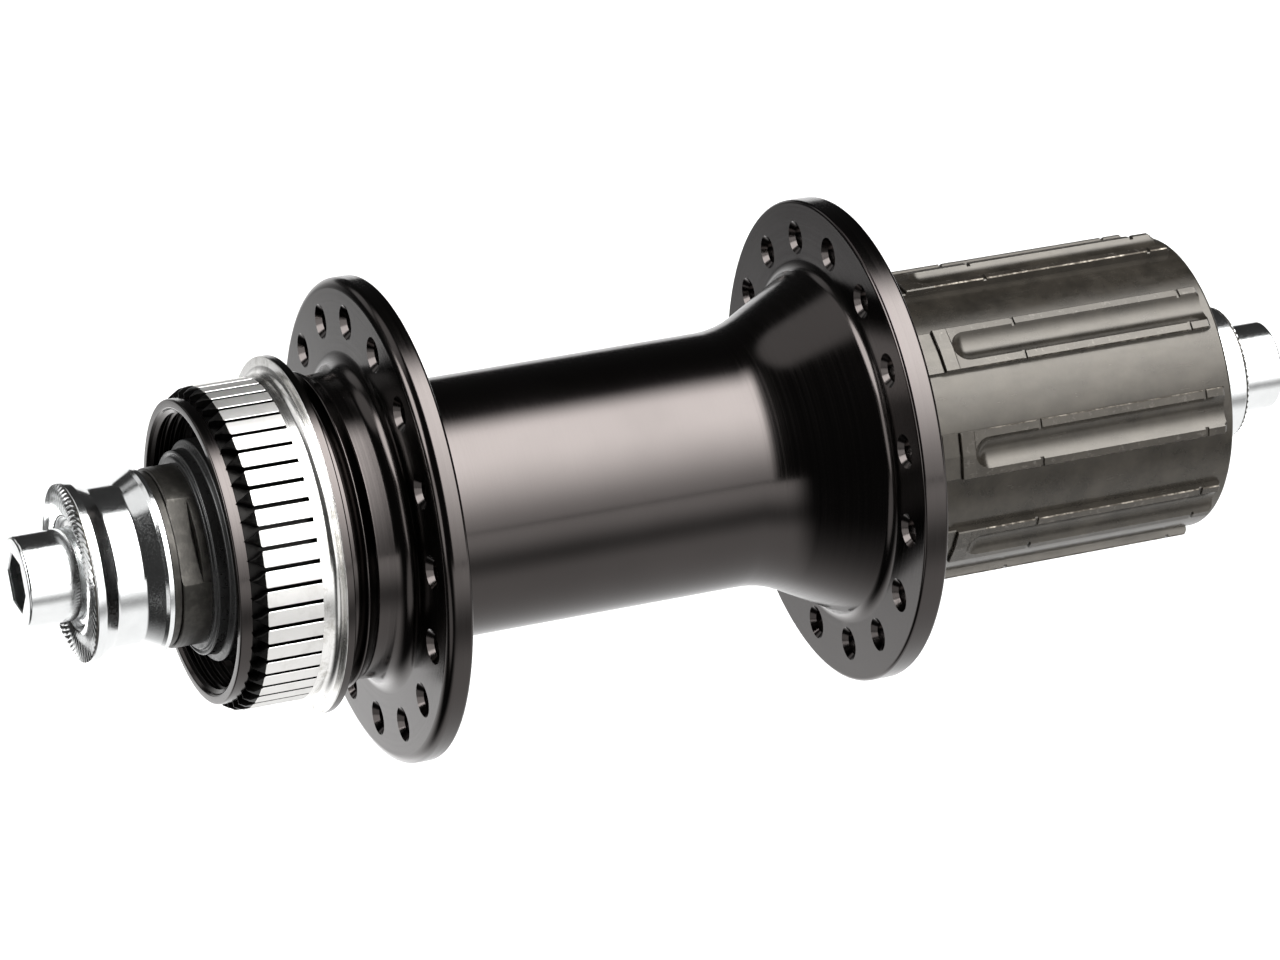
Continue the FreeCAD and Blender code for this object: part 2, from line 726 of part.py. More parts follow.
def drive_cup():
    """Screwed on the core: outer ball track of the freewheel outside, main ball track inside."""
    pitch = main_pitch_radius
    lip = pitch - main_ball_radius + running_gap
    core_end = outer_row_y - core_tail
    end = drive_ball_y - drive_cup_front
    solid = turned([
        (outer_row_y, core_neck_radius), (outer_row_y, core_neck_radius + core_neck_play),
        (outer_row_y - race_shoulder, freewheel_pitch_radius - running_gap),
        (outer_row_y - race_shoulder - cup_slope, head_radius),
        (end, head_radius), (end, race_wall_radius), (drive_ball_y, race_wall_radius),
        (drive_ball_y + cup_lip_length, pitch - running_gap), (drive_ball_y + cup_lip_length, lip),
        (core_end, lip),
        (core_end, core_neck_radius)])
    return without(solid, [main_groove(drive_ball_y), freewheel_groove(outer_row_y)])


def drive_dust_cover():
    start = drive_ball_y - drive_cup_front
    rim = head_radius - drive_cover_inset
    plug = race_wall_radius - drive_cover_web
    front = start - drive_cover_thickness
    inner = cone_radius + 2 * running_gap
    return turned([
        (start + drive_cover_plug, race_wall_radius), (start, race_wall_radius), (start, rim),
        (front, rim), (front, inner), (front + drive_cover_web, inner),
        (front + drive_cover_web, plug), (start + drive_cover_plug, plug)])


# ---------------------------------------------------------------- freewheel body

def ratchet_cavity():
    """Saw-tooth outline cut through the body's web; the steep faces push the pawl tips."""
    tip_angle = pawl_phase + pawl_tip_angle() + tooth_room
    points = []
    for k in range(ratchet_teeth):
        steep = math.radians(tip_angle + 360.0 * k / ratchet_teeth)
        for radius in (ratchet_root_radius, ratchet_tip_radius - tooth_tip_room):
            points.append((radius * math.cos(steep), radius * math.sin(steep)))
    return prism(points, ratchet_y, ratchet_y + ratchet_length)


def pawl_tip_angle():
    lift = math.radians(pawl_lift)
    radial = pawl_pivot_radius + pawl_length * math.sin(lift)
    return math.degrees(math.atan2(pawl_length * math.cos(lift), radial))


def rail_groove(width):
    """Round-bottomed channel milled along a spline, open at the outer end."""
    depth = rail_groove_depth
    radius = (width ** 2 / 4 + depth ** 2) / (2 * depth)
    centre = spline_radius - depth + radius
    start = drive_face + rail_groove_start - width / 2
    end = drive_face + body_end
    channel = Part.makeCylinder(radius, start - end, at(end, centre), SPIN)
    return channel.fuse(Part.makeSphere(radius, at(start, centre)))


def freewheel_body():
    start = drive_face + body_start
    end = drive_face + body_end
    spline_top = drive_face + spline_start
    spline_bottom = end + spline_end_inset
    thread_end = end + cassette_thread_length
    bore = sleeve_bore_radius
    solid = turned([
        (start, bore), (start, body_radius - edge_chamfer), (start - edge_chamfer, body_radius),
        (end + edge_chamfer, body_radius), (end, body_radius - edge_chamfer),
        (end, cassette_thread_radius), (thread_end, cassette_thread_radius),
        (thread_end + body_bore_step, bore), (outer_row_y, bore),
        (outer_row_y + body_bore_slope, ratchet_tip_radius),
        (inner_row_y - body_bore_slope, ratchet_tip_radius), (inner_row_y, bore)])
    splines = []
    channels = []
    for k in range(spline_count):
        narrow = k == narrow_spline
        width = narrow_spline_width if narrow else spline_width
        angle = spline_phase + 360.0 * k / spline_count
        inner = (body_radius + bore) / 2
        ridge = sector(inner, spline_radius, width, spline_bottom, spline_top)
        foot = sector(inner, spline_step_radius, width, spline_top, spline_top + spline_step_length)
        splines.append(around(ridge.fuse(foot), angle))
        channels.append(around(rail_groove(narrow_groove_width if narrow else rail_groove_width), angle))
    for inset in nick_insets:
        middle = drive_face + inset
        nick = ring(middle - nick_width / 2, middle + nick_width / 2, spline_radius - nick_depth,
                    spline_radius + OVERRUN)
        channels.append(nick)
    tools = channels + [freewheel_groove(inner_row_y), freewheel_groove(outer_row_y), ratchet_cavity()]
    return without(fused(solid, splines), tools)


def freewheel_seal():
    """Rubber ring pressed in the body's inner end."""
    start = drive_face + body_start - body_seal_inset
    return ring(start, start - body_seal_length, freewheel_pitch_radius, sleeve_bore_radius)


# ---------------------------------------------------------------- all pieces

def pieces():
    return {
        "axle": axle(),
        "disc_lock_nut": disc_lock_nut(),
        "disc_lock_washer": disc_lock_washer(),
        "disc_cone": cone(disc_ball_y, disc_cone_end),
        "disc_cone_seal": disc_cone_seal(),
        "drive_lock_nut": drive_lock_nut(),
        "drive_lock_washer": drive_lock_washer(),
        "drive_spacer": drive_spacer(),
        "drive_cone": cone(drive_ball_y, drive_cone_end),
        "drive_cone_seal": drive_cone_seal(),
        "disc_balls": balls(disc_ball_y, main_pitch_radius, main_ball_radius, main_ball_count),
        "disc_ball_cage": cage(disc_ball_y, 1),
        "drive_balls": balls(drive_ball_y, main_pitch_radius, main_ball_radius, main_ball_count),
        "drive_ball_cage": cage(drive_ball_y, -1),
        "hub_shell": hub_shell(),
        "disc_cup": disc_cup(),
        "disc_dust_cover": disc_dust_cover(),
        "core_shim": core_shim(),
        "freewheel_core": freewheel_core(),
        "fixing_bolt": fixing_bolt(),
        "pawl_spring": pawl_spring(),
        "drive_cup": drive_cup(),
        "drive_dust_cover": drive_dust_cover(),
        "pawl_1": pawl(0),
        "pawl_2": pawl(1),
        "freewheel_inner_balls": balls(
            inner_row_y, freewheel_pitch_radius, freewheel_ball_radius, freewheel_ball_count),
        "freewheel_outer_balls": balls(
            outer_row_y, freewheel_pitch_radius, freewheel_ball_radius, freewheel_ball_count),
        "freewheel_body": freewheel_body(),
        "freewheel_seal": freewheel_seal(),
    }


os.makedirs("parts", exist_ok=True)
for name, shape in pieces().items():
    shape.exportStep(f"parts/{name}.step")
    print(name, "solids", len(shape.Solids), "valid", shape.isValid(), "mm3", round(shape.Volume, 1))
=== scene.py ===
import json
import math

import bmesh
import bpy
from bpy.props import FloatProperty, FloatVectorProperty, IntProperty, PointerProperty
from mathutils import Matrix, Vector


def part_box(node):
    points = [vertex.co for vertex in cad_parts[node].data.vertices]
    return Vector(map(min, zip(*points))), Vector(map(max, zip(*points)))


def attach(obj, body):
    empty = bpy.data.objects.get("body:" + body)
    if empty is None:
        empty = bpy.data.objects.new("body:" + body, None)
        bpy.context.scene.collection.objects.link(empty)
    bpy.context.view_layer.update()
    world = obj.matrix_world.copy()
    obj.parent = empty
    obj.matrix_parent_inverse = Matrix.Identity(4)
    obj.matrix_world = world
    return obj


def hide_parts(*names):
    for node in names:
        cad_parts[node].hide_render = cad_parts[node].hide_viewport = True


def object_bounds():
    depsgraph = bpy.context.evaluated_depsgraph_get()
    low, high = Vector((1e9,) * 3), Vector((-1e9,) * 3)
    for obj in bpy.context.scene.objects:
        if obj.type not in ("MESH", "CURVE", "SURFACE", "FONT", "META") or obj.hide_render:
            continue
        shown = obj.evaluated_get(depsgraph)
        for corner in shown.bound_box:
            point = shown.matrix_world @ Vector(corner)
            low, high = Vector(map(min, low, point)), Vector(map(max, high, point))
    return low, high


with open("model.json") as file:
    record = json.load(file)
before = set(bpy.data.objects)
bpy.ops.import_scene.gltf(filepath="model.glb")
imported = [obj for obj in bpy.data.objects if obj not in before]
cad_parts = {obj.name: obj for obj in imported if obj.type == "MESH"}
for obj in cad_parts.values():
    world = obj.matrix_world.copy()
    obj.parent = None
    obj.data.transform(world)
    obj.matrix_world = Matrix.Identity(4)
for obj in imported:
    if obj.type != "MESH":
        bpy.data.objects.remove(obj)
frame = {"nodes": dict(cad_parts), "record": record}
CAD_BOX = [list(corner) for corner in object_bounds()]

bl_info = {
    "name": "Rear Wheel Hub",
    "version": (1, 0, 0),
    "blender": (4, 5, 0),
    "location": "3D View > Sidebar > Hub",
    "description": "Builds the visible pieces of a disc-brake rear hub around its packed frame",
    "category": "Object",
}

# Outlines are written in millimetres as (y, r) and made metres in the mesh.
MM = 0.001
SMOOTH_ANGLE = math.radians(32)
ARC_STEP = math.radians(7.5)
FULL_TURN = 2 * math.pi

# Brightness of what the metal reflects.
KEY_GLOW = 11.0
FLOOR_GLOW = 1.1
FAR_GLOW = 1.25
AMBIENT_GLOW = 0.03
# Round soft lamps at infinity: direction, degrees across half of the lamp, brightness.
LAMPS = (
    ((0.43, 0.36, 0.83), 24.0, 0.9),     # wide glow on the taper
    ((0.15, 0.86, 0.48), 21.0, 8.0),     # streak along the taper's root fillet
    ((-0.2, 0.97, 0.1), 19.0, 2.5),      # bevels at the disc end
    ((-0.4, 0.8, -0.43), 20.0, 0.9),     # lock nut's teeth, lit from below
    ((0.84, 0.4, 0.37), 14.0, 0.7))      # lock nut's teeth, lit from behind


def top(node):
    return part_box(node)[1] / MM


def bottom(node):
    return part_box(node)[0] / MM


def box_radius(node):
    return top(node).x


def node_ends(node, side):
    """A node's outer and inner ends along the axle, on the given side of the hub."""
    return (top(node).y, bottom(node).y) if side > 0 else (bottom(node).y, top(node).y)


def mount(name):
    return next(m for m in frame["record"]["mounts"] if m["name"] == name)


# ------------------------------------------------------------------ stations taken from the frame

DISC_FACE = top("disc_lock_nut").y
DISC_NUT_BACK = bottom("disc_lock_nut").y
DRIVE_FACE = bottom("drive_lock_nut").y
DRIVE_NUT_BACK = top("drive_lock_nut").y
BOSS_END = top("hub_shell").y
SHELL_END = bottom("hub_shell").y
DRIVE_RIM = box_radius("hub_shell")
STOP_Y = mount("disc_stop_face")["pos_m"][1] / MM
DISC_FLANGE_Y = mount("disc_spoke_holes")["pos_m"][1] / MM
DRIVE_FLANGE_Y = mount("drive_spoke_holes")["pos_m"][1] / MM
DISC_SPOKE_CIRCLE = mount("disc_spoke_holes")["dims"]["pcd_mm"] / 2
DRIVE_SPOKE_CIRCLE = mount("drive_spoke_holes")["dims"]["pcd_mm"] / 2
SPOKE_HOLE = mount("disc_spoke_holes")["dims"]["hole_r_mm"]
SPOKE_COUNT = mount("disc_spoke_holes")["dims"]["count"]
SKEWER_BORE = mount("skewer_bore")["dims"]["r_mm"]
AXLE_STUB = mount("disc_axle_end")["dims"]["r_mm"]
BODY_START = top("freewheel_body").y
BODY_END = bottom("freewheel_body").y
SPLINE_TOP = box_radius("freewheel_body")

# Sizes in millimetres that the frame doesn't state: radii first, then lengths.
DISC_RIM = 26.2
BARREL = 14.0
STOP_RIM = 19.2
LAND_TOP = 17.3
BOSS = 16.3
BOSS_GROUND = 16.15
RING_THREAD = 15.15
NECK = 16.0
NECK_RING = 17.2
SHELL_BOSS = 13.5
SHELL_BORE = 11.0
SPIGOT_BORE = 9.0
SHOULDER = 20.2
TAPER_FILLET = 1.6
FLANGE_HALF = 1.4
SPOKE_SINK = 0.55
STOP_FILLET_END = STOP_Y + 1.9
POINTS_START = BOSS_END - 2.8
POINTS_END = BOSS_END - 1.35
THREAD_PITCH = 1.0
THREAD_HEIGHT = 0.4
AXLE_THREAD = 5.6
AXLE_SEAT = 7.0
AXLE_MIDDLE = 6.5
SOCKET_FLATS = 5.5
NUT_RECESS = 6.2
NUT_BORE = 5.65
CONE = 9.6
CONE_HALF_FLATS = 8.5
CONE_FLAT_LENGTH = 2.2
CONE_BORE = 7.02
SEAL_BORE = 9.55
WASHER_BORE = 5.62
BODY_VALLEY = 16.4
BODY_THREAD = 15.2
SLEEVE_BORE = 14.8
RATCHET_TIP = 13.95
SPLINE_OUTER = BODY_END + 1.2
SPLINE_INNER = DRIVE_FACE + 40.0
CHANNEL_END = DRIVE_FACE + 38.4
NICKS = (DRIVE_FACE + 10.5, DRIVE_FACE + 30.5)
CHANNEL_DEPTH = 0.88


# ------------------------------------------------------------------ settings

def length_setting(name, description, default):
    return FloatProperty(name=name, description=description, default=default, unit="LENGTH")


def angle_setting(name, description, degrees):
    return FloatProperty(
        name=name, description=description, default=math.radians(degrees), unit="ROTATION")


def colour_setting(name, description, *default):
    return FloatVectorProperty(
        name=name, description=description, subtype="COLOR", default=default, min=0.0, max=1.0)


def count_setting(name, description, default, least):
    return IntProperty(name=name, description=description, default=default, min=least)


class ShellSettings(bpy.types.PropertyGroup):
    segments: count_setting("Segments", "Faces around the turned shell", 224, 48)
    edge_break: length_setting("Edge break", "Radius on the shell's turned edges", 0.00018)
    land_count: count_setting("Lands", "Spline lands on the disc seat", 50, 8)
    land_share: FloatProperty(
        name="Land share", description="Width of a land as a share of the pitch", default=0.8,
        subtype="FACTOR")
    land_phase: angle_setting("Land phase", "Angle of the first land", 174.25)
    disc_hole_phase: angle_setting("Disc hole phase", "Angle of a spoke hole on the disc side", 12.5)
    drive_hole_phase: angle_setting("Drive hole phase", "Angle of a spoke hole on the drive side", 2.0)
    black: colour_setting("Black", "Reflection colour of the black anodising", 0.058, 0.052, 0.05)
    bright: colour_setting("Bright", "Colour of the aluminium turned bare", 0.84, 0.83, 0.81)


class AxleSettings(bpy.types.PropertyGroup):
    segments: count_setting("Segments", "Faces around the nuts and cones", 128, 32)
    serration_count: count_setting("Serrations", "Teeth on each lock nut's face", 64, 8)
    serration_height: length_setting("Serration height", "Height of a tooth", 0.00035)
    serration_sweep: angle_setting("Serration sweep", "Angle that a tooth turns from root to rim", 24)
    plating: colour_setting("Plating", "Colour of the bright plated steel", 0.82, 0.83, 0.83)
    # This oxide colour is also painted into the lock nuts' tooth valleys as painted shade.
    oxide: colour_setting("Oxide", "Colour of the black oxide on the cones", 0.05, 0.047, 0.042)


class FreewheelSettings(bpy.types.PropertyGroup):
    segments: count_setting("Segments", "Faces around the freewheel body", 160, 32)
    spline_count: count_setting("Splines", "Cassette splines", 9, 3)
    spline_angle: angle_setting("Spline width", "Angle across a spline", 17.6)
    narrow_angle: angle_setting("Narrow spline", "Angle across the one narrow spline", 12.0)
    spline_phase: angle_setting("Spline phase", "Angle of the first spline", 167.3)
    channel_width: length_setting("Channel width", "Width of the milled channel in a spline", 0.0035)
    steel: colour_setting("Steel", "Colour of the phosphated steel", 0.03, 0.0262, 0.0212)


class StageSettings(bpy.types.PropertyGroup):
    lens: FloatProperty(name="Lens", description="Focal length in millimetres", default=155.3)
    distance_x: length_setting("Camera X", "Camera position", -0.49981)
    distance_y: length_setting("Camera Y", "Camera position", 0.20848)
    distance_z: length_setting("Camera Z", "Camera position", 0.25522)
    yaw: angle_setting("Yaw", "Direction of view from +X", -22.35)
    pitch: angle_setting("Pitch", "Direction of view above the horizon", -25.349)
    floor_colour: colour_setting("Floor", "Colour of the floor", 0.9, 0.9, 0.9)


# ------------------------------------------------------------------ node trees

def add(tree, kind, inputs=None, **settings):
    """Adds a node; inputs maps a socket's name or index to a value or to another node's output."""
    node = tree.nodes.new(kind)
    for key, value in settings.items():
        setattr(node, key, value)
    for key, value in (inputs or {}).items():
        if isinstance(value, bpy.types.NodeSocket):
            tree.links.new(value, node.inputs[key])
        else:
            node.inputs[key].default_value = value
    return node


def calc(tree, operation, a, b=0.0, c=0.0):
    return add(tree, "ShaderNodeMath", {0: a, 1: b, 2: c}, operation=operation).outputs[0]


def geometry_tree(name, sockets):
    """A geometry group with named inputs; returns the tree and its input node."""
    tree = bpy.data.node_groups.new(name, "GeometryNodeTree")
    tree.interface.new_socket(name="Geometry", in_out="OUTPUT", socket_type="NodeSocketGeometry")
    tree.interface.new_socket(name="Geometry", in_out="INPUT", socket_type="NodeSocketGeometry")
    for label, kind in sockets:
        tree.interface.new_socket(name=label, in_out="INPUT", socket_type=kind)
    return tree, tree.nodes.new("NodeGroupInput")


def close_tree(tree, given, geometry):
    """Every tree ends by realising what it made and giving it the material."""
    real = add(tree, "GeometryNodeRealizeInstances", {"Geometry": geometry})
    painted = add(tree, "GeometryNodeSetMaterial",
                  {"Geometry": real.outputs[0], "Material": given.outputs["Material"]})
    add(tree, "NodeGroupOutput", {0: painted.outputs[0]})
    return tree


def turned_tree():
    """Turns a closed outline, drawn in the X-Y plane with x as radius, once around Y."""
    tree, given = geometry_tree("turned", [
        ("Segments", "NodeSocketInt"), ("Material", "NodeSocketMaterial")])
    outline = given.outputs["Geometry"]
    size = add(tree, "GeometryNodeAttributeDomainSize", {"Geometry": outline}, component="MESH")
    points = size.outputs["Point Count"]
    columns = calc(tree, "ADD", given.outputs["Segments"], 1.0)
    grid = add(tree, "GeometryNodeMeshGrid", {
        "Size X": 1.0, "Size Y": 1.0, "Vertices X": calc(tree, "ADD", points, 1.0), "Vertices Y": columns})
    index = add(tree, "GeometryNodeInputIndex").outputs[0]
    row = calc(tree, "FLOOR", calc(tree, "DIVIDE", index, columns))
    step = calc(tree, "SUBTRACT", index, calc(tree, "MULTIPLY", row, columns))
    turn = calc(tree, "DIVIDE", calc(tree, "MULTIPLY", step, FULL_TURN), given.outputs["Segments"])
    place = add(tree, "GeometryNodeInputPosition").outputs[0]
    sample = add(tree, "GeometryNodeSampleIndex", {
        "Geometry": outline, "Value": place, "Index": calc(tree, "FLOORED_MODULO", row, points)},
        data_type="FLOAT_VECTOR")
    spot = add(tree, "ShaderNodeSeparateXYZ", {0: sample.outputs["Value"]})
    moved = add(tree, "ShaderNodeCombineXYZ", {
        "X": calc(tree, "MULTIPLY", spot.outputs["X"], calc(tree, "COSINE", turn)),
        "Y": spot.outputs["Y"],
        "Z": calc(tree, "MULTIPLY", spot.outputs["X"], calc(tree, "SINE", turn))})
    swept = add(tree, "GeometryNodeSetPosition", {
        "Geometry": grid.outputs["Mesh"], "Position": moved.outputs[0]})
    closed = add(tree, "GeometryNodeMergeByDistance", {"Geometry": swept.outputs[0], "Distance": 1e-7})
    return close_tree(tree, given, closed.outputs[0])


def copies_around(tree, element, count, phase):
    """Copies of an element, modelled at +X, turned around Y at even angles."""
    spots = add(tree, "GeometryNodeMeshLine", {"Count": count})
    index = add(tree, "GeometryNodeInputIndex").outputs[0]
    angle = calc(tree, "ADD", calc(tree, "MULTIPLY", index, calc(tree, "DIVIDE", FULL_TURN, count)), phase)
    turn = add(tree, "ShaderNodeCombineXYZ", {"Y": calc(tree, "MULTIPLY", angle, -1.0)})
    spots.inputs["Offset"].default_value = (0.0, 0.0, 0.0)
    return add(tree, "GeometryNodeInstanceOnPoints", {
        "Points": spots.outputs[0], "Instance": element, "Rotation": turn.outputs[0]}).outputs[0]


def ring_tree():
    """A ring of copies of the mesh it is given."""
    tree, given = geometry_tree("ring", [
        ("Count", "NodeSocketInt"), ("Phase", "NodeSocketFloat"), ("Material", "NodeSocketMaterial")])
    copies = copies_around(tree, given.outputs["Geometry"], given.outputs["Count"], given.outputs["Phase"])
    return close_tree(tree, given, copies)


def cut_tree():
    """Cuts a ring of copies of a tool out of the mesh it is given."""
    tree, given = geometry_tree("cut", [
        ("Tool", "NodeSocketObject"), ("Count", "NodeSocketInt"), ("Phase", "NodeSocketFloat"),
        ("Material", "NodeSocketMaterial")])
    tool = add(tree, "GeometryNodeObjectInfo", {"Object": given.outputs["Tool"]})
    copies = copies_around(tree, tool.outputs["Geometry"], given.outputs["Count"], given.outputs["Phase"])
    real = add(tree, "GeometryNodeRealizeInstances", {"Geometry": copies})
    cut = add(tree, "GeometryNodeMeshBoolean", operation="DIFFERENCE", solver="MANIFOLD")
    tree.links.new(given.outputs["Geometry"], cut.inputs["Mesh 1"])
    tree.links.new(real.outputs[0], cut.inputs["Mesh 2"])
    return close_tree(tree, given, cut.outputs["Mesh"])


# ------------------------------------------------------------------ meshes

def rounded(corners):
    """Closed outline from (y, r) or (y, r, fillet) corners, with each fillet as an arc."""
    points = []
    for i, corner in enumerate(corners):
        here = Vector(corner[:2])
        fillet = corner[2] if len(corner) == 3 else 0.0
        before = Vector(corners[i - 1][:2]) - here
        after = Vector(corners[(i + 1) % len(corners)][:2]) - here
        half = before.angle(after) / 2
        if fillet <= 0.0 or half > math.radians(89):
            points.append(here)
            continue
        back = min(fillet / math.tan(half), 0.49 * before.length, 0.49 * after.length)
        radius = back * math.tan(half)
        centre = here + (before.normalized() + after.normalized()).normalized() * (radius / math.sin(half))
        first = here + before.normalized() * back - centre
        last = here + after.normalized() * back - centre
        sweep = math.pi - 2 * half
        steps = max(2, math.ceil(sweep / ARC_STEP))
        sign = 1 if first.x * last.y - first.y * last.x > 0 else -1
        for k in range(steps + 1):
            points.append(centre + Matrix.Rotation(sign * sweep * k / steps, 2) @ first)
    return points


def outline_mesh(points):
    mesh = bpy.data.meshes.new("outline")
    count = len(points)
    edges = [(i, (i + 1) % count) for i in range(count)]
    mesh.from_pydata([(p[1] * MM, p[0] * MM, 0.0) for p in points], edges, [])
    return mesh


def grown(mesh, tree, **values):
    """Runs a geometry tree on a mesh and returns what it makes as a plain mesh."""
    base = bpy.data.objects.new("base", mesh)
    bpy.context.scene.collection.objects.link(base)
    modifier = base.modifiers.new("grow", "NODES")
    modifier.node_group = tree
    for item in tree.interface.items_tree:
        if item.item_type == "SOCKET" and item.in_out == "INPUT" and item.name in values:
            modifier[item.identifier] = values[item.name]
    shown = base.evaluated_get(bpy.context.evaluated_depsgraph_get())
    made = bpy.data.meshes.new_from_object(shown)
    bpy.data.objects.remove(base)
    if not made.polygons:
        raise RuntimeError(f"the {tree.name} tree made nothing")
    return made


def outward(mesh):
    """Points every closed shell's faces outward."""
    work = bmesh.new()
    work.from_mesh(mesh)
    bmesh.ops.recalc_face_normals(work, faces=work.faces)
    work.to_mesh(mesh)
    work.free()
    return mesh


def turned(corners, material, segments):
    outline = outline_mesh(rounded(corners))
    return outward(grown(outline, TREES["turned"], Segments=segments, Material=material))


def ring_of(mesh, count, phase, material):
    return outward(grown(mesh, TREES["ring"], Count=count, Phase=phase, Material=material))


def cut(mesh, tool, count, phase, material):
    """Cuts a ring of tools; the faces keep the given material."""
    holder = bpy.data.objects.new("tool", tool)
    bpy.context.scene.collection.objects.link(holder)
    made = grown(mesh, TREES["cut"], Tool=holder, Count=count, Phase=phase, Material=material)
    bpy.data.objects.remove(holder)
    return made


def solid_mesh(rings):
    """Closed mesh lofted through rings of points, in millimetres, capped at both ends."""
    mesh = bpy.data.meshes.new("loft")
    across = len(rings[0])
    points = [tuple(c * MM for c in p) for ring in rings for p in ring]
    faces = [tuple(range(across)), tuple((len(rings) - 1) * across + k for k in reversed(range(across)))]
    for i in range(len(rings) - 1):
        for k in range(across):
            a = i * across + k
            b = i * across + (k + 1) % across
            faces.append((a, b, b + across, a + across))
    mesh.from_pydata(points, [], faces)
    return outward(mesh)


def polar(y, r, angle):
    return (r * math.cos(angle), y, r * math.sin(angle))


def spindle(stations, centre, sides=40):
    """Tool that is round about an axis parallel to Y at radius centre; stations are (y, radius)."""
    rings = []
    for y, r in stations:
        turns = [FULL_TURN * k / sides for k in range(sides)]
        rings.append([(centre + r * math.cos(t), y, r * math.sin(t)) for t in turns])
    return solid_mesh(rings)


def paint(mesh, material, rule):
    """Gives the faces whose (y, r) in millimetres meet a rule another material."""
    mesh.materials.append(material)
    slot = len(mesh.materials) - 1
    for face in mesh.polygons:
        if rule(face.center.y / MM, math.hypot(face.center.x, face.center.z) / MM):
            face.material_index = slot
    return mesh


def joined(meshes):
    """One mesh from several, with their materials kept."""
    materials = []
    work = bmesh.new()
    for mesh in meshes:
        slots = []
        for material in mesh.materials:
            if material not in materials:
                materials.append(material)
            slots.append(materials.index(material))
        for face in mesh.polygons:
            face.material_index = slots[face.material_index]
        work.from_mesh(mesh)
    made = bpy.data.meshes.new("joined")
    work.to_mesh(made)
    work.free()
    for material in materials:
        made.materials.append(material)
    return made


def finish_piece(name, meshes, body, slot, *nodes):
    """Makes the piece, smooth but for its real edges, and hands it to its body."""
    mesh = joined(meshes)
    mesh.name = name
    for face in mesh.polygons:
        face.use_smooth = True
    mesh.set_sharp_from_angle(angle=SMOOTH_ANGLE)
    piece = bpy.data.objects.new(name, mesh)
    bpy.context.scene.collection.objects.link(piece)
    weighted = piece.modifiers.new("weighted normals", "WEIGHTED_NORMAL")
    weighted.keep_sharp = True
    weighted.weight = 80
    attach(piece, body)
    if nodes:
        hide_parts(*nodes)
    return piece


# ------------------------------------------------------------------ materials

def new_material(name, **values):
    """A material with its Principled shader's own sockets set; returns it with its tree and shader."""
    material = bpy.data.materials.new(name)
    material.use_nodes = True
    tree = material.node_tree
    shader = tree.nodes["Principled BSDF"]
    for key, value in values.items():
        shader.inputs[key.replace("_", " ")].default_value = value
    return material, tree, shader


def turned_space(tree):
    """Object coordinates as (distance along the axis, radius, 0), so that a pattern runs in rings."""
    spot = add(tree, "ShaderNodeSeparateXYZ", {0: object_space(tree)})
    across = calc(tree, "MULTIPLY", spot.outputs["X"], spot.outputs["X"])
    radius = calc(tree, "SQRT", calc(tree, "ADD", across, calc(
        tree, "MULTIPLY", spot.outputs["Z"], spot.outputs["Z"])))
    rings = add(tree, "ShaderNodeCombineXYZ", {"X": spot.outputs["Y"], "Y": radius}).outputs[0]
    return rings, radius


def object_space(tree):
    return add(tree, "ShaderNodeTexCoord").outputs["Object"]


def noise(tree, vector, scale, detail=3.0, roughness=0.5):
    return add(tree, "ShaderNodeTexNoise", {
        "Vector": vector, "Scale": scale, "Detail": detail, "Roughness": roughness}).outputs[0]


def fitted(tree, value, low, high, to_low, to_high):
    return add(tree, "ShaderNodeMapRange", {
        "Value": value, "From Min": low, "From Max": high, "To Min": to_low, "To Max": to_high}).outputs[0]


def eased(tree, value, low, high):
    """Smooth step from 0 at low to 1 at high, or down when low is the larger."""
    rising = low < high
    ends = (0.0, 1.0) if rising else (1.0, 0.0)
    return add(tree, "ShaderNodeMapRange", {
        "Value": value, "From Min": min(low, high), "From Max": max(low, high),
        "To Min": ends[0], "To Max": ends[1]}, interpolation_type="SMOOTHSTEP").outputs[0]


def bump(tree, shader, height, distance, strength=1.0, under=None):
    inputs = {"Strength": strength, "Distance": distance, "Height": height}
    if under is not None:
        inputs["Normal"] = under
    made = add(tree, "ShaderNodeBump", inputs).outputs[0]
    tree.links.new(made, shader.inputs["Normal"])
    return made


def mixed(tree, share, first, second):
    return add(tree, "ShaderNodeMix", {0: share, 6: first, 7: second}, data_type="RGBA").outputs[2]


def coloured(tree, shader, share, first, second):
    tree.links.new(mixed(tree, share, first, second), shader.inputs["Base Color"])


def noise_to(tree, value, low, high):
    """A noise's usual span, 0.3 to 0.7, made low to high."""
    return fitted(tree, value, 0.3, 0.7, low, high)


def roughened(tree, shader, value, low, high):
    tree.links.new(noise_to(tree, value, low, high), shader.inputs["Roughness"])


def tone(colour, factor):
    return (*[min(1.0, c * factor) for c in colour], 1.0)


def black_anodised(settings):
    """Gloss black over turned aluminium: fine rings and faint cloudiness."""
    material, tree, shader = new_material("black_anodised", Metallic=1.0)
    rings = turned_space(tree)[0]
    lines = noise(tree, rings, 9000.0, 2.0, 0.7)
    cloud = noise(tree, object_space(tree), 90.0, 4.0)
    coloured(tree, shader, cloud, tone(settings.black, 0.85), tone(settings.black, 1.15))
    shade = calc(tree, "ADD", noise_to(tree, lines, 0.09, 0.21), noise_to(tree, cloud, 0.0, 0.03))
    tree.links.new(shade, shader.inputs["Roughness"])
    under = bump(tree, shader, noise(tree, rings, 2200.0, 3.0), 0.000005, 0.6)
    bump(tree, shader, lines, 0.0000016, 0.6, under)
    return material


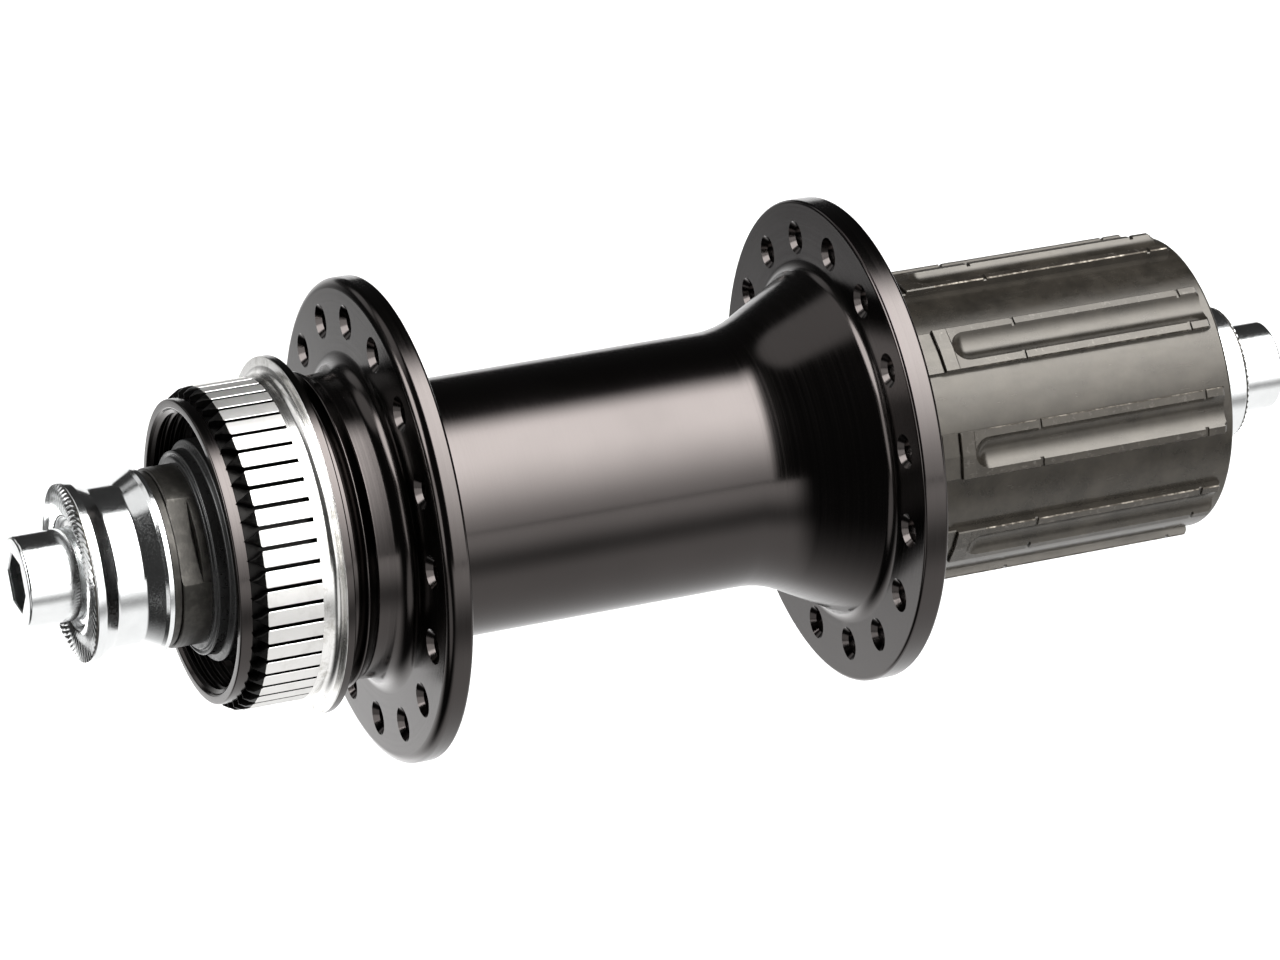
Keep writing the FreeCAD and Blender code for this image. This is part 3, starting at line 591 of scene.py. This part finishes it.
def bare_aluminium(settings, name, smooth, rough, stained):
    """Aluminium turned after anodising, with stains and light tool chatter."""
    material, tree, shader = new_material(name, Metallic=1.0)
    stain = fitted(tree, noise(tree, object_space(tree), 420.0, 6.0, 0.65), 0.5, 0.72, 0.0, stained)
    coloured(tree, shader, stain, tone(settings.bright, 1.0), (0.45, 0.43, 0.39, 1.0))
    lines = noise(tree, turned_space(tree)[0], 7000.0, 2.0, 0.7)
    roughened(tree, shader, lines, smooth, rough)
    bump(tree, shader, lines, 0.000003, 0.6)
    return material


def plated_steel(settings):
    """Bright plating with a fine orange-peel grain over the turning marks."""
    material, tree, shader = new_material("plated_steel", Metallic=1.0)
    objects = object_space(tree)
    grain = noise(tree, objects, 5200.0, 3.0, 0.6)
    patch = noise(tree, objects, 500.0, 3.0)
    coloured(tree, shader, patch, tone(settings.plating, 0.9), tone(settings.plating, 1.08))
    tree.links.new(fitted(tree, grain, 0.35, 0.65, 0.08, 0.2), shader.inputs["Roughness"])
    under = bump(tree, shader, noise(tree, turned_space(tree)[0], 4200.0, 2.0), 0.000002, 0.5)
    bump(tree, shader, grain, 0.000004, 0.7, under)
    return material


def black_oxide(settings):
    """Oiled black oxide: satin, a little brown, rubbed lighter in places."""
    material, tree, shader = new_material("black_oxide", Metallic=0.8)
    rub = fitted(tree, noise(tree, object_space(tree), 900.0, 5.0, 0.6), 0.45, 0.75, 0.0, 1.0)
    coloured(tree, shader, rub, tone(settings.oxide, 0.8), tone(settings.oxide, 1.5))
    lines = noise(tree, turned_space(tree)[0], 6000.0, 2.0, 0.7)
    roughened(tree, shader, lines, 0.3, 0.42)
    bump(tree, shader, lines, 0.000003, 0.6)
    return material


def phosphated_steel(settings):
    """Warm grey phosphate, streaked along the body, with the splines' rails rubbed lighter."""
    material, tree, shader = new_material("phosphated_steel", Metallic=0.05, Specular_IOR_Level=0.5,
                                          Specular_Tint=(1.0, 0.945, 0.86, 1.0))
    radius = turned_space(tree)[1]
    objects = object_space(tree)
    along = (1.0, 0.22, 1.0)
    drawn = add(tree, "ShaderNodeVectorMath", {0: objects, 1: along}, operation="MULTIPLY")
    mottle = noise(tree, drawn.outputs["Vector"], 900.0, 7.0, 0.65)
    patch = fitted(tree, noise(tree, objects, 260.0, 5.0, 0.6), 0.35, 0.65, 0.0, 1.0)
    base = mixed(tree, patch, tone(settings.steel, 0.5), tone(settings.steel, 1.1))
    rail = fitted(tree, radius, (SPLINE_TOP - 0.14) * MM, (SPLINE_TOP - 0.02) * MM, 0.0, 1.0)
    scuff = fitted(tree, noise(tree, objects, 1500.0, 4.0, 0.7), 0.56, 0.75, 0.04, 0.8)
    coloured(tree, shader, calc(tree, "MULTIPLY", rail, scuff), base, (0.11, 0.1, 0.09, 1.0))
    roughened(tree, shader, mottle, 0.17, 0.29)
    under = bump(tree, shader, mottle, 0.000009, 0.5)
    bump(tree, shader, noise(tree, objects, 6000.0, 2.0), 0.000003, 0.5, under)
    return material


def worn_steel():
    """Edges of the splines where the coating is rubbed through."""
    material, tree, shader = new_material("worn_steel", Metallic=0.9)
    rub = fitted(tree, noise(tree, object_space(tree), 1200.0, 5.0, 0.65), 0.45, 0.75, 0.0, 1.0)
    coloured(tree, shader, rub, (0.045, 0.039, 0.032, 1.0), (0.26, 0.235, 0.2, 1.0))
    tree.links.new(fitted(tree, rub, 0.0, 1.0, 0.45, 0.28), shader.inputs["Roughness"])
    return material


def grained(name, scale, detail, low, high, relief, **values):
    """A plain finish with a fine grain in its roughness and relief; returns its parts and the grain."""
    material, tree, shader = new_material(name, **values)
    grain = noise(tree, object_space(tree), scale, detail)
    roughened(tree, shader, grain, low, high)
    bump(tree, shader, grain, relief, 0.5)
    return material, tree, shader, grain


def painted_shade_black():
    """Black anodising painted much darker than the shell's own black: painted shade in the gaps between and
    beyond the spline lands.
    """
    material, tree, shader, grain = grained("painted_shade_black", 3000.0, 3.0, 0.32, 0.5, 0.000006, Metallic=1.0)
    coloured(tree, shader, grain, (0.006, 0.006, 0.006, 1.0), (0.02, 0.019, 0.018, 1.0))
    return material


def rubber():
    """Moulded black rubber with a faint oily shine."""
    black = (0.012, 0.012, 0.012, 1.0)
    return grained("black_rubber", 2600.0, 4.0, 0.24, 0.4, 0.000006, Base_Color=black)[0]


def cage_plastic():
    """Dark moulded nylon."""
    dark = (0.05, 0.048, 0.04, 1.0)
    return grained("cage_plastic", 3000.0, 4.0, 0.4, 0.6, 0.000004, Base_Color=dark)[0]


def ground_steel(name, grey, low, high):
    """Hardened steel, ground in rings, for the races, balls and inner hardware."""
    material, tree, shader = new_material(name, Metallic=1.0)
    lines = noise(tree, turned_space(tree)[0], 6000.0, 3.0, 0.6)
    colour = (grey, grey, grey)
    coloured(tree, shader, lines, tone(colour, 0.8), tone(colour, 1.15))
    roughened(tree, shader, lines, low, high)
    bump(tree, shader, lines, 0.000002, 0.5)
    return material


TREES = {}
MATERIALS = {}
SLOT_FINISHES = {
    "plated_steel": "plated", "black_oxide_steel": "oxide", "black_rubber": "rubber",
    "black_anodised_aluminium": "black", "phosphated_steel": "phosphate", "bearing_steel": "ground",
    "polished_balls": "balls", "pressed_cover": "cover", "cage_plastic": "cage"}


# ------------------------------------------------------------------ operators

class HUB_OT_prepare(bpy.types.Operator):
    """Makes the node trees and finishes, and finishes the inner CAD pieces"""
    bl_idname = "hub.prepare"
    bl_label = "Trees and finishes"

    def execute(self, context):
        scene = context.scene
        shell = scene.hub_shell_settings
        steel = scene.hub_axle_settings
        TREES.update(turned=turned_tree(), ring=ring_tree(), cut=cut_tree())
        MATERIALS.update(
            black=black_anodised(shell), bright=bare_aluminium(shell, "turned_aluminium", 0.16, 0.28, 1.0),
            lands=bare_aluminium(shell, "land_aluminium", 0.4, 0.5, 0.25), gap=painted_shade_black(),
            worn=worn_steel(), plated=plated_steel(steel), oxide=black_oxide(steel),
            phosphate=phosphated_steel(scene.hub_freewheel_settings), rubber=rubber(), cage=cage_plastic(),
            ground=ground_steel("ground_steel", 0.5, 0.18, 0.3),
            balls=ground_steel("ball_steel", 0.78, 0.05, 0.09),
            cover=ground_steel("coated_cover", 0.05, 0.3, 0.42))
        slots = {part["node"]: part["material_slot"] for part in frame["record"]["subparts"]}
        for name, piece in frame["nodes"].items():
            piece.data.materials.clear()
            piece.data.materials.append(MATERIALS[SLOT_FINISHES[slots[name]]])
        return {"FINISHED"}


def thread_crests(first, count, bore, height):
    """Corners of a few ring-shaped thread crests that stand in from a bore."""
    corners = []
    for k in range(count):
        crest = first + k * THREAD_PITCH
        corners += [(crest - 0.3, bore, 0.05), (crest - 0.05, bore - height, 0.05),
                    (crest + 0.05, bore - height, 0.05), (crest + 0.3, bore, 0.05)]
    return corners


def shell_corners(edge):
    """The shell's whole outline: boss, disc stop, neck, both flanges, barrel, taper and inner bores."""
    disc_front = DISC_FLANGE_Y + FLANGE_HALF
    disc_back = DISC_FLANGE_Y - FLANGE_HALF
    drive_front = DRIVE_FLANGE_Y + FLANGE_HALF
    drive_back = DRIVE_FLANGE_Y - FLANGE_HALF
    thread_end = BOSS_END - 4.4
    web = SHELL_END + 12.0
    cup_back = bottom("disc_cup").y
    cup_front = top("disc_cup").y
    cup = box_radius("disc_cup")
    cover = box_radius("disc_dust_cover")
    slope = math.radians(28)
    rise = TAPER_FILLET * (1 - math.sin(slope))
    root = SHOULDER - TAPER_FILLET * math.cos(slope) + rise * math.tan(slope)
    taper_y = drive_front + (root - BARREL) / math.tan(slope)
    corners = [
        (BOSS_END, RING_THREAD + 0.2, edge), (BOSS_END, BOSS, edge), (BOSS_END - 1.3, BOSS),
        (BOSS_END - 1.4, BOSS_GROUND), (STOP_FILLET_END, BOSS_GROUND), (STOP_FILLET_END, LAND_TOP),
        (STOP_Y, LAND_TOP, 1.4), (STOP_Y, STOP_RIM, 0.1), (STOP_Y - 1.0, STOP_RIM, 0.2),
        (STOP_Y - 1.3, NECK, 0.9), (STOP_Y - 2.5, NECK, 0.35), (STOP_Y - 3.1, NECK_RING, 0.25),
        (STOP_Y - 4.5, NECK + 0.3, 0.5), (disc_front + 0.1, NECK + 0.6, 2.4),
        (disc_front, DISC_RIM, 1.1), (disc_back, DISC_RIM, 0.4), (disc_back - 0.1, BARREL, 3.2),
        (taper_y, BARREL, 12.0), (drive_front, root, TAPER_FILLET),
        (drive_front, DRIVE_RIM, 0.35), (drive_back, DRIVE_RIM, 0.4), (drive_back, SHELL_BOSS, 0.3),
        (SHELL_END, SHELL_BOSS, edge), (SHELL_END, SPIGOT_BORE), (web, SPIGOT_BORE),
        (web + 1.0, SHELL_BORE), (cup_back, SHELL_BORE), (cup_back, cup), (cup_front, cup),
        (cup_front, cover), (thread_end, cover), (thread_end, RING_THREAD)]
    return corners + thread_crests(thread_end + 0.75, 4, RING_THREAD, THREAD_HEIGHT)


def spoke_drill(middle, circle):
    """Drill with a countersink at both faces of a flange."""
    front = middle + FLANGE_HALF
    back = middle - FLANGE_HALF
    wide = SPOKE_HOLE + SPOKE_SINK
    over = 1.0
    stations = [(back - over, wide + over), (back, wide), (back + SPOKE_SINK, SPOKE_HOLE),
                (front - SPOKE_SINK, SPOKE_HOLE), (front, wide), (front + over, wide + over)]
    return spindle(stations, circle)


class HUB_OT_shell(bpy.types.Operator):
    """Turned aluminium shell with drilled flanges"""
    bl_idname = "hub.shell"
    bl_label = "Shell"

    def execute(self, context):
        settings = context.scene.hub_shell_settings
        mesh = turned(shell_corners(settings.edge_break / MM), MATERIALS["black"], settings.segments)
        for middle, circle, phase in ((DISC_FLANGE_Y, DISC_SPOKE_CIRCLE, settings.disc_hole_phase),
                                      (DRIVE_FLANGE_Y, DRIVE_SPOKE_CIRCLE, settings.drive_hole_phase)):
            mesh = cut(mesh, spoke_drill(middle, circle), SPOKE_COUNT, phase, MATERIALS["black"])
        paint(mesh, MATERIALS["bright"], lambda y, r: STOP_Y - 0.1 < y < STOP_Y + 2.0 and r > 16.9)
        # Painted shade: the boss between the stop fillet and the lead-in teeth gets the darker black,
        # standing in for the shade among the teeth.
        paint(mesh, MATERIALS["gap"], lambda y, r: STOP_Y + 2.0 < y < BOSS_END - 1.3 and 15.6 < r < 16.9)
        finish_piece("shell", [mesh], "hub_shell", "black_anodised_aluminium", "hub_shell")
        return {"FINISHED"}


def land_mesh(settings):
    """One spline land: bright turned top, then a pointed black lead-in at its outer end."""
    root = BOSS_GROUND - 0.1
    half = math.pi / settings.land_count * settings.land_share
    bevel = 0.05

    def section(y, crown, width, edge):
        side = width - edge / crown
        tops = [polar(y, crown, side * k / 3) for k in range(-3, 4)]
        left = [polar(y, root, -width), polar(y, crown - edge, -width)]
        return left + tops + [polar(y, crown - edge, width), polar(y, root, width)]

    return solid_mesh([
        section(STOP_FILLET_END - 0.05, LAND_TOP, half, bevel),
        section(POINTS_START, LAND_TOP, half, bevel),
        section(POINTS_START + 0.1, LAND_TOP - 0.04, half * 0.9, bevel),
        section(POINTS_START + 0.8, LAND_TOP - 0.1, half * 0.42, 0.15),
        section(POINTS_END, LAND_TOP - 0.5, half * 0.06, 0.02)])


class HUB_OT_disc_seat(bpy.types.Operator):
    """Ring of spline lands that carries the brake disc"""
    bl_idname = "hub.disc_seat"
    bl_label = "Disc seat lands"

    def execute(self, context):
        settings = context.scene.hub_shell_settings
        # The land sides and the pointed lead-in teeth are black anodised, painted darker as shade in the
        # grooves between the lands; only the tops get bare aluminium.
        mesh = ring_of(land_mesh(settings), settings.land_count, settings.land_phase, MATERIALS["gap"])
        paint(mesh, MATERIALS["lands"], lambda y, r: y < POINTS_START + 0.1 and r > LAND_TOP - 0.04)
        finish_piece("disc_seat_lands", [mesh], "hub_shell", "black_anodised_aluminium")
        return {"FINISHED"}


def serration_mesh(face, side, inner, outer, settings):
    """One curved, sharp-crested tooth on a lock nut's face."""
    height = settings.serration_height / MM
    steps = 6
    rings = []
    for k in range(steps + 1):
        share = k / steps
        r = inner + (outer - inner) * share
        angle = settings.serration_sweep * share ** 1.4 * side
        half = 0.46 * FULL_TURN / settings.serration_count
        rise = height * min(1.0, 0.35 + 3 * share) * min(1.0, 0.55 + 4 * (1 - share))
        levels = ((-0.15, 1.0), (0.0, 1.0), (rise * 0.45, 0.6), (rise, 0.1))
        left = [polar(face - side * (height - up), r, angle - half * part) for up, part in levels]
        right = [polar(face - side * (height - up), r, angle + half * part) for up, part in levels]
        rings.append(left + right[::-1])
    return solid_mesh(rings)


def lock_nut(face, side, profile, inner, outer, settings):
    height = settings.serration_height / MM
    corners = [(face - side * height, inner - 0.2, 0.05)] + profile
    blank = turned(corners, MATERIALS["plated"], settings.segments)
    teeth = ring_of(serration_mesh(face, side, inner, outer, settings), settings.serration_count, 0.0,
                    MATERIALS["plated"])
    # Painted shade: the lower flanks of the teeth and the face between them get the dark oxide colour,
    # standing in for the shade in the valleys of the serrations.
    root = abs(face) - height * 0.7
    paint(teeth, MATERIALS["oxide"], lambda y, r: abs(y) < root)
    ground = abs(face) - 2 * height
    paint(blank, MATERIALS["oxide"], lambda y, r: inner < r < outer - 0.1 and ground < abs(y))
    return [blank, teeth]


class HUB_OT_lock_nuts(bpy.types.Operator):
    """Plated lock nuts with serrated faces"""
    bl_idname = "hub.lock_nuts"
    bl_label = "Lock nuts"

    def execute(self, context):
        settings = context.scene.hub_axle_settings
        height = settings.serration_height / MM
        f = DISC_FACE
        back = DISC_NUT_BACK
        disc_profile = [
            (f - height, 9.35, 0.12), (f - 0.45, 9.55, 0.15), (f - 1.35, 9.45, 0.25), (f - 3.0, 8.55, 0.8),
            (back + 2.7, 8.55, 0.8), (back + 0.95, 9.5, 0.15), (back + 0.6, 9.75, 0.12), (back, 9.75, 0.15),
            (back, NUT_BORE), (f - 0.9, NUT_BORE), (f - 0.9, 6.0, 0.1)]
        finish_piece("disc_nut", lock_nut(f, 1, disc_profile, NUT_RECESS, 9.45, settings),
                     "axle", "plated_steel", "disc_lock_nut")
        f = DRIVE_FACE
        back = DRIVE_NUT_BACK
        drive_profile = [
            (f + height, 7.3, 0.1), (f + 0.45, 7.5, 0.15), (back - 1.6, 7.5, 0.5), (back - 0.8, 8.6, 0.2),
            (back, 8.6, 0.15), (back, NUT_BORE), (f + 0.9, NUT_BORE), (f + 0.9, 6.0, 0.1)]
        finish_piece("drive_nut", lock_nut(f, -1, drive_profile, NUT_RECESS, 7.42, settings),
                     "axle", "plated_steel", "drive_lock_nut")
        return {"FINISHED"}


class HUB_OT_axle(bpy.types.Operator):
    """Hollow plated axle with a hexagon socket"""
    bl_idname = "hub.axle"
    bl_label = "Axle"

    def execute(self, context):
        settings = context.scene.hub_axle_settings
        end = top("axle").y
        stub_root = abs(DISC_FACE) - 0.8
        corners = []
        for side, name, stop in ((1, "disc", "disc_lock_washer"), (-1, "drive", "drive_spacer")):
            seat = node_ends(stop, side)[1]
            seat_end = node_ends(f"{name}_cone", side)[1] - side * 0.1
            half = [
                (side * end, SKEWER_BORE, 0.1), (side * end, AXLE_STUB, 0.3),
                (side * stub_root, AXLE_STUB, 0.1), (side * stub_root, AXLE_THREAD, 0.15),
                (seat, AXLE_THREAD), (seat, AXLE_SEAT, 0.1), (seat_end, AXLE_SEAT, 0.1),
                (seat_end, AXLE_MIDDLE)]
            corners += half[::side]
        mesh = turned(corners, MATERIALS["plated"], settings.segments)
        wide = SOCKET_FLATS / math.sqrt(3)
        socket = spindle([(end - 6.0, wide), (end - 0.25, wide), (end + 0.5, wide + 0.4)], 0.0, sides=6)
        mesh = cut(mesh, socket, 1, 0.0, MATERIALS["plated"])
        finish_piece("hollow_axle", [mesh], "axle", "plated_steel", "axle")
        return {"FINISHED"}


class HUB_OT_cones(bpy.types.Operator):
    """Bearing cones with spanner flats, their washers, spacer and rubber seals"""
    bl_idname = "hub.cones"
    bl_label = "Cones and seals"

    def execute(self, context):
        settings = context.scene.hub_axle_settings
        for side, name in ((1, "disc"), (-1, "drive")):
            self.cone(settings, side, name)
            self.seal(settings, side, name)
            node = f"{name}_lock_washer"
            self.washer(settings, f"{name}_washer", node, "oxide", "black_oxide_steel")
        self.washer(settings, "drive_spacer_ring", "drive_spacer", "plated", "plated_steel")
        return {"FINISHED"}

    def cone(self, settings, side, name):
        node = f"{name}_cone"
        end, start = node_ends(node, side)
        ball = start + side * 1.9
        corners = [
            (start, CONE_BORE), (start, 8.9, 0.2), (ball, 9.2, 1.9), (ball + side * 1.9, 10.6),
            (ball + side * 2.1, 10.9, 0.1), (ball + side * 2.4, 10.9, 0.1),
            (ball + side * 3.3, CONE, 0.3), (end, CONE, 0.18), (end, CONE_BORE)]
        mesh = turned(corners, MATERIALS["oxide"], settings.segments)
        low = CONE_HALF_FLATS
        high = low + CONE
        rings = []
        for y in (end - side * CONE_FLAT_LENGTH, end + side * 1.0):
            rings.append([(low, y, -CONE), (high, y, -CONE), (high, y, CONE), (low, y, CONE)])
        mesh = cut(mesh, solid_mesh(rings), 2, math.radians(145.5), MATERIALS["oxide"])
        finish_piece(f"{name}_bearing_cone", [mesh], "axle", "black_oxide_steel", node)

    def seal(self, settings, side, name):
        node = f"{name}_cone_seal"
        end, start = node_ends(node, side)
        lip = box_radius(node)
        if side > 0:
            corners = [(end, SEAL_BORE), (end, 10.2, 0.15), (end - 0.45, 10.3, 0.15),
                       (end - 0.1, 10.9, 0.2), (end - 1.55, 10.95, 0.25), (end - 1.7, 11.5, 0.2),
                       (end - 1.75, lip, 0.3), (start, lip, 0.3), (start, SEAL_BORE)]
        else:
            corners = [(end, SEAL_BORE), (end, 10.9, 0.3), (end + 0.4, lip, 0.25), (start, lip, 0.2),
                       (start, SEAL_BORE)]
        mesh = turned(corners, MATERIALS["rubber"], settings.segments)
        finish_piece(f"{name}_rubber_seal", [mesh], "axle", "black_rubber", node)

    def washer(self, settings, name, node, finish, slot):
        low = bottom(node).y
        high = top(node).y
        rim = box_radius(node)
        corners = [(low, WASHER_BORE), (low, rim, 0.15), (high, rim, 0.15), (high, WASHER_BORE)]
        finish_piece(name, [turned(corners, MATERIALS[finish], settings.segments)], "axle", slot, node)


def channel_section(y, half_angle, channel, crown):
    """Cross-section of a spline: chamfered rails with a round-bottomed channel between them."""
    root = BODY_VALLEY - 0.2
    depth = CHANNEL_DEPTH
    chamfer = 0.12
    half_width = channel / 2
    arc = (half_width ** 2 + depth ** 2) / (2 * depth)
    ball_end = CHANNEL_END - half_width
    past = max(0.0, y - ball_end)
    reach = arc ** 2 - past ** 2
    floor_gap = arc - depth
    open_half = math.sqrt(reach - floor_gap ** 2) if reach > floor_gap ** 2 else 0.0
    steps = 10
    bed = []
    for k in range(-steps, steps + 1):
        across = open_half * k / steps
        sink = max(0.0, math.sqrt(max(reach - across ** 2, 0.0)) - floor_gap) if open_half else 0.0
        spread = across if open_half else half_width * 0.02 * k / steps
        bed.append(polar(y, min(crown, SPLINE_TOP - sink), spread / SPLINE_TOP))
    edge = half_angle - chamfer / crown
    left = [polar(y, root, -half_angle), polar(y, crown - chamfer, -half_angle), polar(y, crown, -edge)]
    right = [polar(y, crown, edge), polar(y, crown - chamfer, half_angle), polar(y, root, half_angle)]
    return left + bed + right


def spline_mesh(angle, channel):
    """One cassette spline, lofted along the body."""
    half_width = channel / 2
    ball_end = CHANNEL_END - half_width
    stations = [(SPLINE_OUTER, SPLINE_TOP - 0.35), (SPLINE_OUTER + 0.3, SPLINE_TOP)]
    for middle in NICKS:
        stations += [(middle - 0.22, SPLINE_TOP), (middle - 0.16, SPLINE_TOP - 0.22),
                     (middle + 0.16, SPLINE_TOP - 0.22), (middle + 0.22, SPLINE_TOP)]
    steps = 9
    quarter = math.pi / 2
    stations += [(ball_end + half_width * math.sin(quarter * k / steps), SPLINE_TOP)
                 for k in range(steps + 1)]
    stations += [
        (SPLINE_INNER - 0.1, SPLINE_TOP), (SPLINE_INNER, SPLINE_TOP - 0.1),
        (SPLINE_INNER + 0.02, SPLINE_TOP - 0.4), (SPLINE_INNER + 1.9, SPLINE_TOP - 0.42),
        (SPLINE_INNER + 2.0, SPLINE_TOP - 0.55)]
    stations.sort()
    return solid_mesh([channel_section(y, angle / 2, channel, crown) for y, crown in stations])


class HUB_OT_freewheel(bpy.types.Operator):
    """Splined freewheel body"""
    bl_idname = "hub.freewheel"
    bl_label = "Freewheel body"

    def execute(self, context):
        settings = context.scene.hub_freewheel_settings
        inner_row = top("freewheel_inner_balls").y
        outer_row = bottom("freewheel_outer_balls").y
        corners = [
            (BODY_START, SLEEVE_BORE, 0.1), (BODY_START, BODY_VALLEY, 0.3), (BODY_END, BODY_VALLEY, 0.35),
            (BODY_END, BODY_THREAD, 0.15)]
        corners += thread_crests(BODY_END + 1.2, 6, BODY_THREAD, THREAD_HEIGHT)
        corners += [
            (BODY_END + 7.2, BODY_THREAD), (BODY_END + 7.5, SLEEVE_BORE), (outer_row, SLEEVE_BORE),
            (outer_row + 2.6, RATCHET_TIP), (inner_row - 2.6, RATCHET_TIP), (inner_row - 1.2, SLEEVE_BORE)]
        steel = MATERIALS["phosphate"]
        meshes = [turned(corners, steel, settings.segments)]
        pitch = FULL_TURN / settings.spline_count
        narrow = 5
        wide = spline_mesh(settings.spline_angle, settings.channel_width / MM)
        slim = spline_mesh(settings.narrow_angle, settings.channel_width / MM * 0.5)
        for first, count in ((0, narrow), (narrow + 1, settings.spline_count - narrow - 1)):
            for k in range(first, first + count):
                meshes.append(ring_of(wide, 1, settings.spline_phase + k * pitch, steel))
        meshes.append(ring_of(slim, 1, settings.spline_phase + narrow * pitch, steel))
        for mesh in meshes[1:]:
            paint(mesh, MATERIALS["worn"],
                  lambda y, r: SPLINE_TOP - 0.09 < r < SPLINE_TOP - 0.03 and y < DRIVE_FACE + 36.5)
        finish_piece("splined_body", meshes, "freewheel_body", "phosphated_steel", "freewheel_body")
        return {"FINISHED"}


class HUB_OT_stage(bpy.types.Operator):
    """Camera, floor, world and softboxes"""
    bl_idname = "hub.stage"
    bl_label = "Camera, floor and lights"

    def execute(self, context):
        settings = context.scene.hub_stage_settings
        scene = context.scene
        scene.view_settings.view_transform = "Standard"
        self.camera(scene, settings)
        self.floor(scene, settings)
        self.world(scene)
        return {"FINISHED"}

    def camera(self, scene, settings):
        data = bpy.data.cameras.new("camera")
        data.lens = settings.lens
        data.clip_start = 0.01
        data.clip_end = 50.0
        camera = bpy.data.objects.new("camera", data)
        camera.location = (settings.distance_x, settings.distance_y, settings.distance_z)
        flat = math.cos(settings.pitch)
        rise = math.sin(settings.pitch)
        sight = Vector((flat * math.cos(settings.yaw), flat * math.sin(settings.yaw), rise))
        camera.rotation_mode = "QUATERNION"
        camera.rotation_quaternion = sight.to_track_quat("-Z", "Y")
        scene.collection.objects.link(camera)
        scene.camera = camera

    def floor(self, scene, settings):
        half = 6.0
        height = CAD_BOX[0][2] - 0.3
        mesh = bpy.data.meshes.new("floor")
        corners = [(half * x, half * y, height) for x, y in ((-1, -1), (1, -1), (1, 1), (-1, 1))]
        mesh.from_pydata(corners, [], [(0, 1, 2, 3)])
        material = new_material("pale_floor", Roughness=0.9, Base_Color=(*settings.floor_colour, 1.0))[0]
        mesh.materials.append(material)
        floor = bpy.data.objects.new("floor", mesh)
        floor.visible_glossy = False
        scene.collection.objects.link(floor)

    def world(self, scene):
        """A tall softbox, a pale floor, soft lamps and darkness to the metal; white to the camera."""
        world = bpy.data.worlds.new("studio")
        world.use_nodes = True
        tree = world.node_tree
        shade = tree.nodes["Background"]
        shade.inputs["Color"].default_value = (1.0, 1.0, 1.0, 1.0)
        ray = add(tree, "ShaderNodeTexCoord").outputs["Generated"]
        spot = add(tree, "ShaderNodeSeparateXYZ", {0: ray})
        x, y, z = (spot.outputs[k] for k in "XYZ")
        turn = calc(tree, "DEGREES", calc(tree, "ARCTAN2", z, x))
        sides = calc(tree, "MULTIPLY", eased(tree, y, -0.7, -0.5), eased(tree, y, -0.1, -0.22))
        rise = calc(tree, "MULTIPLY", eased(tree, turn, 70, 95), eased(tree, turn, 180, 178))
        fade = calc(tree, "MULTIPLY", eased(tree, turn, 112, 180), 0.82)
        arch = calc(tree, "MULTIPLY", rise, calc(tree, "SUBTRACT", 1.0, fade))
        key = calc(tree, "MULTIPLY", calc(tree, "MULTIPLY", sides, arch), KEY_GLOW)
        table = calc(tree, "ADD", calc(tree, "MULTIPLY", eased(tree, turn, -150, -130), 0.65), 0.35)
        near = calc(tree, "ADD", table, calc(tree, "MULTIPLY", eased(tree, turn, -150, -176), 1.4))
        reach = calc(tree, "MULTIPLY", eased(tree, z, 0.01, -0.03), eased(tree, y, 0.45, 0.0))
        pale = calc(tree, "MULTIPLY", calc(tree, "MULTIPLY", near, reach), FLOOR_GLOW)
        behind = calc(tree, "MULTIPLY", eased(tree, x, 0.2, 0.7), eased(tree, y, -0.3, 0.2))
        low = calc(tree, "MULTIPLY", behind, eased(tree, z, -0.34, -0.5))
        far = calc(tree, "MULTIPLY", low, FAR_GLOW)
        glow = AMBIENT_GLOW
        for layer in (key, pale, far, *[self.lamp(tree, ray, *lamp) for lamp in LAMPS]):
            glow = calc(tree, "ADD", layer, glow)
        seen = add(tree, "ShaderNodeLightPath").outputs["Is Camera Ray"]
        tree.links.new(calc(tree, "MAXIMUM", glow, seen), shade.inputs["Strength"])
        scene.world = world

    def lamp(self, tree, ray, towards, spread, glow):
        """Round soft lamp at infinity, spread degrees across its half."""
        aim = tuple(Vector(towards).normalized())
        facing = add(tree, "ShaderNodeVectorMath", {0: ray, 1: aim}, operation="DOT_PRODUCT")
        edge = math.cos(math.radians(spread))
        disc = eased(tree, facing.outputs["Value"], edge, edge + (1 - edge) * 0.6)
        return calc(tree, "MULTIPLY", disc, glow)


class HUB_PT_panel(bpy.types.Panel):
    """Lists the hub's operators"""
    bl_idname = "HUB_PT_panel"
    bl_label = "Rear Wheel Hub"
    bl_space_type = "VIEW_3D"
    bl_region_type = "UI"
    bl_category = "Hub"

    def draw(self, context):
        for operator in OPERATORS:
            self.layout.operator(operator.bl_idname)


OPERATORS = (HUB_OT_prepare, HUB_OT_shell, HUB_OT_disc_seat, HUB_OT_lock_nuts, HUB_OT_axle, HUB_OT_cones,
             HUB_OT_freewheel, HUB_OT_stage)
GROUPS = {"hub_shell_settings": ShellSettings, "hub_axle_settings": AxleSettings,
          "hub_freewheel_settings": FreewheelSettings, "hub_stage_settings": StageSettings}


def register():
    for cls in (*GROUPS.values(), *OPERATORS, HUB_PT_panel):
        bpy.utils.register_class(cls)
    for name, group in GROUPS.items():
        setattr(bpy.types.Scene, name, PointerProperty(type=group))


def unregister():
    for name in GROUPS:
        delattr(bpy.types.Scene, name)
    for cls in (HUB_PT_panel, *reversed(OPERATORS), *reversed(GROUPS.values())):
        bpy.utils.unregister_class(cls)


def main():
    register()
    for operator in OPERATORS:
        group, name = operator.bl_idname.split(".")
        getattr(getattr(bpy.ops, group), name)()


if __name__ == "__main__":
    main()
